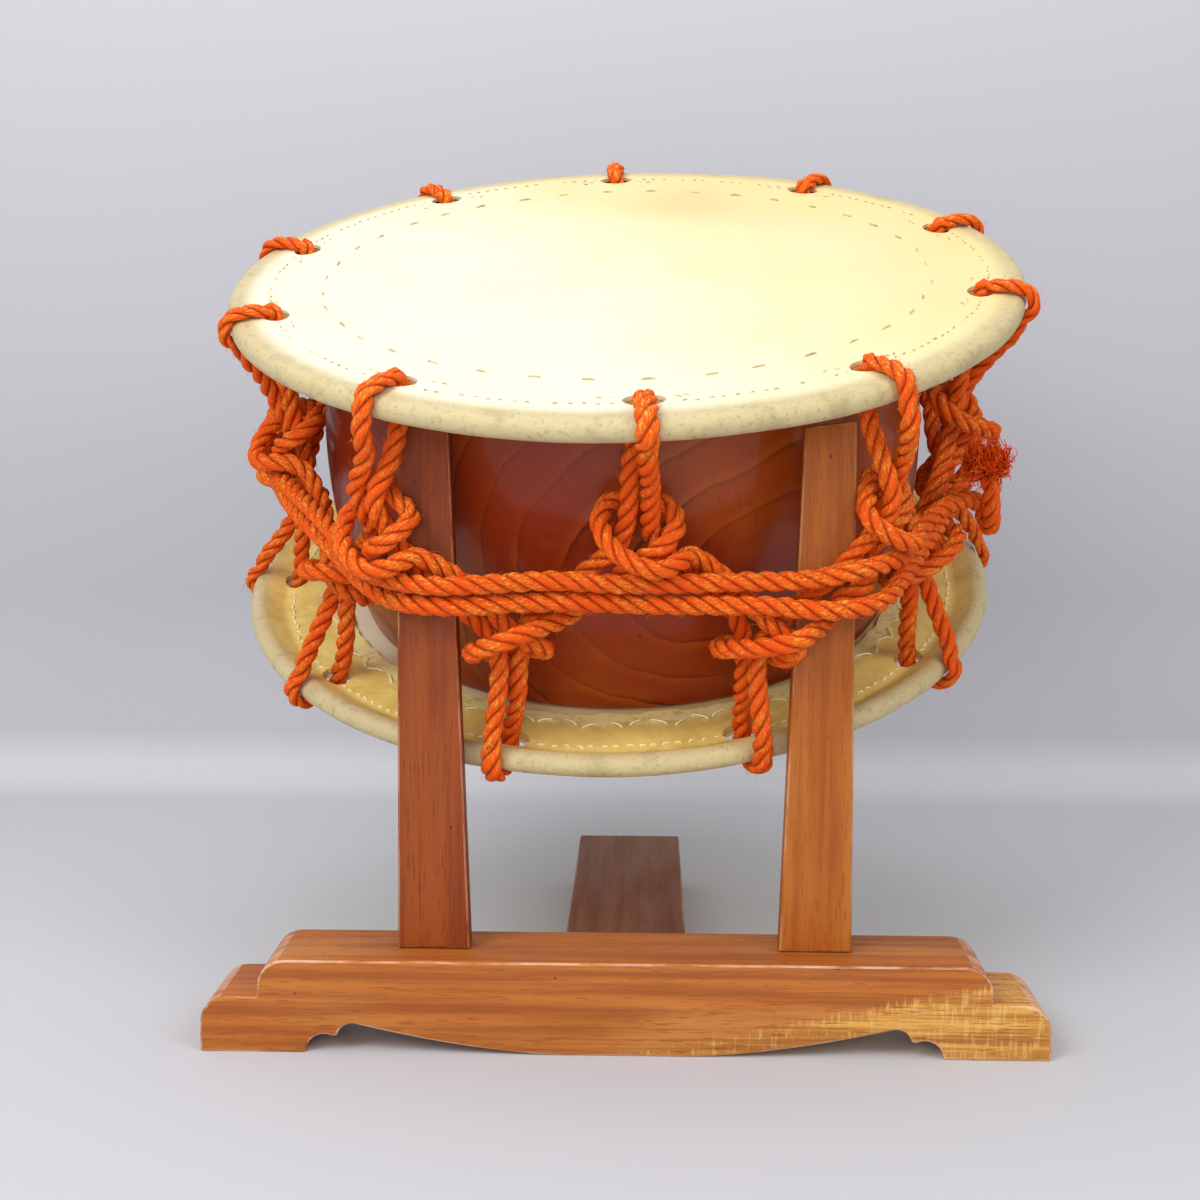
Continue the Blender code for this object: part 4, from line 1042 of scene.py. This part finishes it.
        # Slanting ones that hold the flap's torn edge.
        count = self.flap_stitches
        for k in range(count):
            angle = (k + random.uniform(-0.2, 0.2)) * 2 * math.pi / count
            lean = random.uniform(1.4, 2.6) * MM * (1 if k % 2 else -1)
            radius, length = self.flap_seam + random.normal(0, 0.8) * MM, random.uniform(4.5, 7.0) * MM
            stitch(radius, angle, length, lean, low - 0.6 * MM, -1, 0.85 * MM)
        # Two beside each slit.
        for slit in self.pair_angles():
            for way in (-1, 1):
                for k in range(2):
                    angle = slit + way * (11 + 5 * k + random.uniform(0, 2)) * MM / 153 / MM
                    radius, lean = random.uniform(150, 154) * MM, random.uniform(-1, 1) * MM
                    stitch(radius, angle, 2.6 * MM, lean, top, 1, 0.6 * MM)
        return joined(parts)

    def build(self, hide: Material, thread: Material) -> list[Piece]:
        """Builds the skin and its stitches.

        Args:
            hide: Material of the skin.
            thread: Material of the seams.

        Returns:
            Both pieces.
        """
        name = f"{self.side.value}_head"
        skin = mesh_object(name, *self.surface())
        self.cut_slits(skin)
        skin.data.materials.append(hide)
        skin.data.shade_smooth()
        skin.data.set_sharp_from_angle(angle=math.radians(50))
        skin.matrix_world = self.matrix()
        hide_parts(f"{self.side.value}_skin")
        seams = mesh_object(f"{name}_stitches", *self.stitches())
        seams.data.materials.append(thread)
        seams.matrix_world = self.matrix()
        for piece in (skin, seams):
            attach(piece, "drum")
        return [skin, seams]


def apply_modifiers(piece: Piece) -> None:
    """Makes a piece's modifiers part of its mesh.

    Args:
        piece: The piece.
    """
    bpy.context.view_layer.update()
    shaped = bpy.data.meshes.new_from_object(piece.evaluated_get(bpy.context.evaluated_depsgraph_get()))
    piece.modifiers.clear()
    piece.data = shaped


# Cords


def first_ring(guesses: list[Vector], near: list[set[int]], reach: float, sides: int = 6) -> list[set[int]]:
    """Finds one ring of a tube's vertices and the rings on both sides of it.

    Args:
        guesses: For each vertex, where the tube's middle line should be.
        near: The vertices that each one shares an edge with.
        reach: How close two guesses of one ring lie.
        sides: Number of vertices in a ring of the CAD cord.

    Returns:
        The ring, then the two beside it.
    """
    tree = KDTree(len(guesses))
    for i, guess in enumerate(guesses):
        tree.insert(guess, i)
    tree.balance()
    for guess in guesses:
        ring = {k for _, k, _ in tree.find_range(guess, reach)}
        beside = set().union(*(near[k] for k in ring)) - ring
        one = {min(beside)}
        while True:
            grown = one | (set().union(*(near[k] for k in one)) & beside)
            if grown == one:
                break
            one = grown
        if len(ring) == len(one) == len(beside - one) == sides:
            return [ring, one, beside - one]
    raise ValueError("no ring found")


def cord_route(node: Piece, radius: float) -> tuple[np.ndarray, bool]:
    """Finds the line through the middle of a CAD cord, ring of vertices by ring.

    Args:
        node: The CAD cord.
        radius: Its radius.

    Returns:
        The middles of the rings in order, and whether the last joins the first.
    """
    work = bmesh.new()
    work.from_mesh(node.data)
    bmesh.ops.remove_doubles(work, verts=work.verts, dist=0.001 * MM)
    bmesh.ops.recalc_face_normals(work, faces=work.faces)
    work.verts.ensure_lookup_table()
    work.verts.index_update()
    points = [vertex.co.copy() for vertex in work.verts]
    guesses = [vertex.co - vertex.normal * radius for vertex in work.verts]
    near = [{edge.other_vert(vertex).index for edge in vertex.link_edges} for vertex in work.verts]
    work.free()
    ring, one, other = first_ring(guesses, near, 0.3 * radius)
    halves = []
    closed = False
    for following in (one, other):
        before, now = ring, following
        passed = []
        while now and not closed:
            passed.append(now)
            before, now = now, set().union(*(near[k] for k in now)) - now - before
            closed = now == ring
        halves.append(passed)
    order = halves[0] + [ring] if closed else halves[1][::-1] + [ring] + halves[0]
    LOG.info("%s: %d points in %d rings", node.name, len(points), len(order))
    return np.array([np.mean([points[k] for k in some], axis=0) for some in order]), closed


def rounded_path(points: np.ndarray, closed: bool, step: float) -> np.ndarray:
    """A smooth path through the points, read at even steps.

    Args:
        points: The points it passes through.
        closed: Whether it joins its own start.
        step: Distance between the points returned.

    Returns:
        The path's points.
    """
    count = len(points)
    dense = []
    for i in range(count if closed else count - 1):
        start, end = points[i], points[(i + 1) % count]
        before = points[i - 1] if closed or i else 2 * start - end
        after = points[(i + 2) % count] if closed or i + 2 < count else 2 * end - start
        knots = [0.0]
        for a, b in ((before, start), (start, end), (end, after)):
            knots.append(knots[-1] + max(np.linalg.norm(b - a), 1e-6) ** 0.5)
        t0, t1, t2, t3 = knots
        t = np.linspace(t1, t2, max(2, int(np.linalg.norm(end - start) / (0.5 * MM))), endpoint=False)[:, None]
        a1 = (t1 - t) / (t1 - t0) * before + (t - t0) / (t1 - t0) * start
        a2 = (t2 - t) / (t2 - t1) * start + (t - t1) / (t2 - t1) * end
        a3 = (t3 - t) / (t3 - t2) * end + (t - t2) / (t3 - t2) * after
        b1 = (t2 - t) / (t2 - t0) * a1 + (t - t0) / (t2 - t0) * a2
        b2 = (t3 - t) / (t3 - t1) * a2 + (t - t1) / (t3 - t1) * a3
        dense.append((t2 - t) / (t2 - t1) * b1 + (t - t1) / (t2 - t1) * b2)
    path = np.vstack(dense + ([] if closed else [points[-1:]]))
    ring = np.vstack([path, path[:1]]) if closed else path
    run = np.concatenate([[0], np.cumsum(np.linalg.norm(np.diff(ring, axis=0), axis=1))])
    at = np.linspace(0, run[-1], max(8, int(run[-1] / step)), endpoint=not closed)
    return np.column_stack([np.interp(at, run, ring[:, k]) for k in range(3)])


@dataclass
class LaidRope:
    """A cord of three strands, laid round each other along the route of its CAD solid."""

    name: str
    node: str
    radius: float = 4 * MM
    lay: float = 22.5 * MM
    strand_radius: float = 2.12 * MM
    strand_offset: float = 1.95 * MM
    sides: int = 10
    step: float = 1.5 * MM
    hairs_per_metre: float = 700.0
    ring_radius: float = 170.2 * MM
    ring_height: float = 72.2 * MM
    sunk: float = 2.1 * MM
    flattened: float = 0.30
    pressed_from: float = 7.0 * MM  # distances from the ring's middle between which the cord is pressed
    pressed_to: float = 13.5 * MM
    head_level: float = 50 * MM  # nothing below this height in the drum is pressed
    hair_radius: float = 0.075 * MM
    route: np.ndarray = field(default_factory=lambda: np.zeros((0, 3)))

    def pressing(
        self, path: np.ndarray, pose: DrumPose, shifts: tuple[float, float]
    ) -> tuple[np.ndarray, np.ndarray]:
        """Where the cord bends over a head it lies hard on the skin.

        Args:
            path: The cord's middle line.
            pose: Where the drum hangs.
            shifts: How far the upper and the lower head lie off the barrel's axis.

        Returns:
            Directions off the skin, and how hard each point is pressed, from 0 to 1.
        """
        matrix = np.array(pose.matrix())
        local = (path - matrix[:3, 3]) @ matrix[:3, :3]
        away = np.zeros_like(path)
        hard = np.zeros(len(path))
        for sign, shift in zip((1, -1), shifts):
            flat = local[:, :2] - (shift, 0.0)
            radius = np.linalg.norm(flat, axis=1)
            nearest = flat * np.minimum(1.0, self.ring_radius / radius)[:, None]
            off = np.column_stack([flat - nearest, local[:, 2] - sign * self.ring_height])
            distance = np.linalg.norm(off, axis=1)
            share = np.clip((self.pressed_to - distance) / (3.5 * MM), 0, 1)
            share = share * np.clip((distance - self.pressed_from) / (2.0 * MM), 0, 1)
            share = np.where(local[:, 2] * sign > self.head_level, share * share * (3 - 2 * share), 0.0)
            away += np.where(share > 0, share / np.maximum(distance, 1e-6), 0.0)[:, None] * off
            hard += share
        size = np.linalg.norm(away, axis=1)
        away = away / np.maximum(size, 1e-9)[:, None]
        return away @ matrix[:3, :3].T, hard

    def hairs(self, path: np.ndarray, run: np.ndarray) -> tuple[list, list[np.ndarray], list[np.ndarray]]:
        """Fine fibres that have worked loose and stand off the cord.

        Args:
            path: The cord's middle line.
            run: Distance along it.

        Returns:
            The fibres' meshes, their places in the cord and their depths.
        """
        random = np.random.default_rng(SEED + len(path))
        along = tangents(path, False)
        radii = np.full(4, self.hair_radius)
        parts, places, depths = [], [], []
        for _ in range(int(run[-1] * self.hairs_per_metre)):
            i = int(random.integers(2, len(path) - 2))
            aside = random.normal(0, 1, 3)
            aside -= along[i] * (aside @ along[i])
            aside /= np.linalg.norm(aside)
            curl = np.cross(along[i], aside) * random.uniform(-1, 1)
            length = random.uniform(1.0, 3.4) * MM
            slant = random.choice((-1, 1)) * random.uniform(0.5, 1.2)
            share = np.linspace(0, 1, 4)[:, None]
            root = path[i] + aside * (self.radius * 0.86 + 0.55 * length * share)
            hair, faces = tube(root + (along[i] * slant + curl * share) * length * share, radii, 3)
            parts.append((hair, faces))
            place = (random.uniform(-4, 4) * MM, random.uniform(-4, 4) * MM, run[i])
            places.append(np.tile(place, (len(hair), 1)))
            depths.append(np.ones(len(hair)))
        return parts, places, depths

    def build(self, frame: dict, cord: Material, pose: DrumPose, shifts: tuple[float, float]) -> Piece:
        """Builds the cord's strands.

        Args:
            frame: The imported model.
            cord: Their material.
            pose: Where the drum hangs.
            shifts: How far the upper and the lower head lie off the barrel's axis.

        Returns:
            The cord.
        """
        points, closed = cord_route(frame["nodes"][self.node], self.radius)
        path = rounded_path(points, closed, self.step)
        self.route = path
        off_skin, hard = self.pressing(path, pose, shifts)
        path = path - off_skin * (hard * self.sunk)[:, None]
        sideways = np.cross(tangents(path, closed), off_skin)
        across, other = turning_frames(path, closed)
        gaps = np.linalg.norm(np.diff(np.vstack([path, path[:1]]), axis=0), axis=1)
        run = np.concatenate([[0], np.cumsum(gaps)])[: len(path)]
        total = gaps.sum() if closed else run[-1]
        turns = max(1, round(total / self.lay))
        phase = 2 * math.pi * turns * run / total
        parts, places, depths = [], [], []
        angle = np.arange(self.sides) * 2 * math.pi / self.sides
        count = len(path)
        for strand in range(3):
            turn = phase + strand * 2 * math.pi / 3
            out = np.cos(turn)[:, None] * across + np.sin(turn)[:, None] * other
            round_it = -np.sin(turn)[:, None] * across + np.cos(turn)[:, None] * other
            x = self.strand_offset + self.strand_radius * np.cos(angle)
            y = self.strand_radius * 1.06 * np.sin(angle)
            offset = out[:, None] * x[None, :, None] + round_it[:, None] * y[None, :, None]
            round_offset = offset
            # Where the cord is pressed its strands are flattened against the skin and bulge sideways.
            for way, change in ((off_skin, -self.flattened), (sideways, 0.5 * self.flattened)):
                part = (round_offset * way[:, None]).sum(2)
                offset = offset + way[:, None] * (part * hard[:, None] * change)[:, :, None]
            points = (path[:, None] + offset).reshape(-1, 3)
            faces = sheet_faces(count, self.sides, True)
            if closed:
                last = (count - 1) * self.sides
                for j in range(self.sides):
                    k = (j + 1) % self.sides
                    faces.append((last + j, last + k, k, j))
            else:
                faces.append(tuple(range(self.sides))[::-1])
                faces.append(tuple(range(len(points) - self.sides, len(points))))
            parts.append((points, faces))
            in_frame = [(round_offset * way[:, None]).sum(2) for way in (across, other)]
            in_frame.append(np.repeat(run[:, None], self.sides, axis=1))
            places.append(np.stack(in_frame, axis=2).reshape(-1, 3))
            reach = self.strand_offset + self.strand_radius
            depths.append(np.linalg.norm(round_offset, axis=2).reshape(-1) / reach)
        for kind, more in zip((parts, places, depths), self.hairs(path, run)):
            kind += more
        made = mesh_object(self.name, *joined(parts))
        place = made.data.attributes.new("cord_place", "FLOAT_VECTOR", "POINT")
        place.data.foreach_set("vector", np.vstack(places).astype(np.float32).ravel())
        depth = made.data.attributes.new("cord_depth", "FLOAT", "POINT")
        depth.data.foreach_set("value", np.concatenate(depths).astype(np.float32))
        made.data.materials.append(cord)
        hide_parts(self.node)
        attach(made, "drum")
        LOG.info("%s: %.2f m of cord in %d turns of the lay", self.name, total, turns)
        return made


@dataclass
class Tuft:
    """The brush of loose, crimped fibres that droops from the waist rope's end."""

    node: str = "waist_rope_tuft"
    fibres: int = 700
    thickness: float = 0.7 * MM
    root: float = 3.2 * MM
    brush: float = 10.5 * MM
    overlap: float = 1.5 * MM  # how far the fibres start inside the cord's end
    droop: tuple[float, float] = (3 * MM, 14 * MM)

    def build(self, end: np.ndarray, inward: np.ndarray, fibre: Material) -> Piece:
        """Builds the tuft.

        Args:
            end: Where the rope stops.
            inward: A point of the rope a little before its end.
            fibre: The tuft's material.

        Returns:
            The tuft.
        """
        low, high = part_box(self.node)
        middle = np.array((low + high) / 2)
        forward = end - inward
        forward /= np.linalg.norm(forward)
        side = np.cross(forward, (0.0, 1.0, 0.0))
        side /= np.linalg.norm(side)
        other = np.cross(forward, side)
        length = 2 * np.linalg.norm(middle - end)
        random = np.random.default_rng(SEED + 11)
        parts, shares = [], []
        for _ in range(self.fibres):
            angle = random.uniform(0, 2 * math.pi)
            spread = math.sqrt(random.uniform(0, 1))
            out = math.cos(angle) * side + math.sin(angle) * other
            reach = length * random.uniform(0.72, 1.0) * (1 - 0.28 * spread**3)
            share = np.linspace(0, 1, 10)[:, None]
            curl = random.normal(0, 1.5 * MM, 3)
            crimp = random.normal(0, 0.8 * MM, 3) * np.sin(random.uniform(7, 13) * share + angle)
            root = self.root * spread
            width = root + (self.brush * spread - root) * np.sin(share * math.pi / 2) ** 0.8
            path = end - forward * self.overlap + forward * (reach + self.overlap) * share + out * width
            path = path + curl * share**2 * np.sin(3 * share + angle)
            path = path + crimp * share - np.array((0.0, 0.0, random.uniform(*self.droop))) * share**1.6
            parts.append(tube(path, self.thickness / 2 * (1 - 0.45 * share[:, 0]), 4))
            tone = random.uniform(0.0, 0.5)
            shares.append(np.repeat(np.clip(share[:, 0] * 0.7 + tone, 0, 1), 4))
        made = mesh_object("cord_tuft", *joined(parts))
        attribute = made.data.attributes.new("fibre_share", "FLOAT", "POINT")
        attribute.data.foreach_set("value", np.concatenate(shares).astype(np.float32))
        made.data.materials.append(fibre)
        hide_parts(self.node)
        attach(made, "drum")
        return made


# The stand


@dataclass
class Stand:
    """The T-shaped stand: front board, two posts and the beam behind."""

    edge: float = 0.35 * MM
    sharp: float = math.radians(32)

    def piece(self, frame: dict, node: str, name: str, slot: str, wood: Material) -> Piece:
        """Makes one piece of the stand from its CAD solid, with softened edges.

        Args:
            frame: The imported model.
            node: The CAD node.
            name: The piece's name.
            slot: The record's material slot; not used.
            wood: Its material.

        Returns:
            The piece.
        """
        mesh = frame["nodes"][node].data.copy()
        mesh.name = name
        made = bpy.data.objects.new(name, mesh)
        bpy.context.scene.collection.objects.link(made)
        work = bmesh.new()
        work.from_mesh(mesh)
        bmesh.ops.remove_doubles(work, verts=work.verts, dist=0.001 * MM)
        bmesh.ops.dissolve_limit(work, angle_limit=math.radians(0.3), verts=work.verts, edges=work.edges)
        work.to_mesh(mesh)
        work.free()
        bevel = made.modifiers.new("softened edges", "BEVEL")
        bevel.width = self.edge
        bevel.segments = 2
        bevel.limit_method = "ANGLE"
        bevel.angle_limit = math.radians(28)
        apply_modifiers(made)
        made.data.materials.clear()
        made.data.materials.append(wood)
        made.data.shade_smooth()
        made.data.set_sharp_from_angle(angle=self.sharp)
        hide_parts(node)
        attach(made, "stand")
        return made

    def build(self, frame: dict) -> list[Piece]:
        """Builds the stand's pieces, each in its own wood.

        Args:
            frame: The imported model.

        Returns:
            The pieces.
        """
        board = PlanedWood("planed_cherry_board", "#BC6D28", "#964D1A", "#D2904A", "#E6B696", 0, sap=0.21)
        left = PlanedWood("planed_cherry_left_post", "#93400E", "#7A3007", "#A2521A", "#C48A66", 2)
        right = PlanedWood("planed_cherry_right_post", "#B3611A", "#984B11", "#C47B30", "#D09A6C", 2)
        beam = PlanedWood("planed_cherry_beam", "#8E5028", "#70391A", "#9A6236", "#B08868", 1)
        return [
            self.piece(frame, "front_board", "board", "board_wood", board.build()),
            self.piece(frame, "left_post", "post_left", "post_wood", left.build()),
            self.piece(frame, "right_post", "post_right", "post_wood", right.build()),
            self.piece(frame, "rear_beam", "beam", "beam_wood", beam.build()),
        ]


# The studio


@dataclass
class Studio:
    """Paper, lamps and camera."""

    lens: float = 53.1
    eye: tuple[float, float, float] = (8 * MM, -692 * MM, 264 * MM)
    pitch: float = math.radians(7.0)
    yaw: float = math.radians(-1.5)
    roll: float = math.radians(0.15)
    paper_near: float = -1.6
    paper_bend: float = 0.40
    paper_far: float = 0.52
    paper_high: float = 2.4
    paper_side: float = 3.0
    air: str = "#D9DBE2"
    air_strength: float = 0.43

    def camera(self) -> None:
        """Sets the camera where the photograph was taken from."""
        level = math.cos(self.pitch)
        forward = Vector((math.sin(self.yaw) * level, math.cos(self.yaw) * level, -math.sin(self.pitch)))
        right = Vector((math.cos(self.yaw), -math.sin(self.yaw), 0.0))
        up = right.cross(forward)
        turned_right = right * math.cos(self.roll) + up * math.sin(self.roll)
        turned_up = up * math.cos(self.roll) - right * math.sin(self.roll)
        data = bpy.data.cameras.new("camera")
        data.lens = self.lens
        data.sensor_width = 36.0
        data.clip_start = 0.01
        made = bpy.data.objects.new("camera", data)
        bpy.context.scene.collection.objects.link(made)
        turn = Matrix((turned_right, turned_up, -forward)).transposed()
        made.matrix_world = Matrix.Translation(self.eye) @ turn.to_4x4()
        bpy.context.scene.camera = made

    def paper(self) -> None:
        """Lays the seamless paper: floor, curve and wall."""
        bend, far = self.paper_bend, self.paper_far
        profile = [(self.paper_near, 0.0), (bend, 0.0)]
        for i in range(1, 13):
            angle = math.radians(90 * i / 12)
            profile.append((bend + (far - bend) * math.sin(angle), (far - bend) * (1 - math.cos(angle))))
        profile.append((far, self.paper_high))
        points = np.array([(x, y, z) for y, z in profile for x in (-self.paper_side, self.paper_side)])
        made = mesh_object("paper", points, sheet_faces(len(profile), 2, False))
        made.data.materials.append(StudioPaper().build())

    def lamp(self, name: str, place: Point, aim: Point, size: float, power: float) -> None:
        """Adds one square soft white lamp.

        Args:
            name: Its name.
            place: Where it hangs.
            aim: The point it looks at.
            size: Its side.
            power: Its power in watts.
        """
        data = bpy.data.lights.new(name, "AREA")
        data.shape = "SQUARE"
        data.size = size
        data.energy = power
        made = bpy.data.objects.new(name, data)
        made.location = place
        made.rotation_euler = (Vector(aim) - Vector(place)).to_track_quat("-Z", "Y").to_euler()
        bpy.context.scene.collection.objects.link(made)

    def light(self) -> None:
        """Lights the object softly from above and both sides, with low fill from the front."""
        world = bpy.data.worlds.new("studio_air")
        world.use_nodes = True
        background = world.node_tree.nodes["Background"]
        fill(background.inputs, {"Color": self.air, "Strength": self.air_strength})
        bpy.context.scene.world = world
        self.lamp("overhead", (-0.15, -0.05, 1.35), (0, 0.12, 0.1), 1.1, 6.0)
        self.lamp("left_front", (-0.85, -0.95, 1.15), (0, 0.05, 0.2), 0.8, 13.0)
        self.lamp("right_front", (0.95, -0.85, 1.05), (0, 0.05, 0.2), 0.7, 7.0)
        self.lamp("low_front", (-0.1, -1.3, 0.42), (0, 0.1, 0.15), 0.7, 4.5)

    def build(self) -> None:
        """Builds the studio."""
        self.camera()
        self.paper()
        self.light()
        bpy.context.scene.view_settings.view_transform = "Standard"


def main() -> None:
    """Builds the drum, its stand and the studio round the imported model."""
    logging.basicConfig(level=logging.INFO, format="%(message)s")
    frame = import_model()
    pose = DrumPose()
    Studio().build()
    pieces = Stand().build(frame)
    pieces.append(Barrel(pose).build(LacqueredZelkova().build()))
    hide, thread = DriedRawhide().build(), WaxedThread().build()
    # How far each head lies off the barrel's axis, and the azimuths of its pairs of cords.
    shifts = (3.2 * MM, -3.8 * MM)
    tops = (3.3, 37.2, 76, 111, 145.5, 182.5, 216.5, 254, 289, 327)
    bottoms = (20, 55.7, 93.5, 129, 165, 201, 236.5, 271.5, 308.5, 344.4)
    pieces += Head(pose, Side.TOP, shifts[0], tops).build(hide, thread)
    pieces += Head(pose, Side.BOTTOM, shifts[1], bottoms).build(hide, thread)
    iron = ForgedIron().build()
    for node in ("top_ring", "bottom_ring"):
        frame["nodes"][node].data.materials.clear()
        frame["nodes"][node].data.materials.append(iron)
    cord = LaidCord().build()
    pieces.append(LaidRope("lacing_cord", "lacing_rope").build(frame, cord, pose, shifts))
    waist = LaidRope("waist_cord", "waist_rope")
    pieces.append(waist.build(frame, cord, pose, shifts))
    low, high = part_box("waist_rope_tuft")
    middle = np.array((low + high) / 2)
    route = waist.route
    if np.linalg.norm(route[0] - middle) < np.linalg.norm(route[-1] - middle):
        route = route[::-1]
    pieces.append(Tuft().build(route[-1], route[-4], LooseFibre().build()))
    for piece in pieces:
        LOG.info("piece %s: %d faces", piece.name, len(piece.data.polygons))


if __name__ == "__main__":
    main()
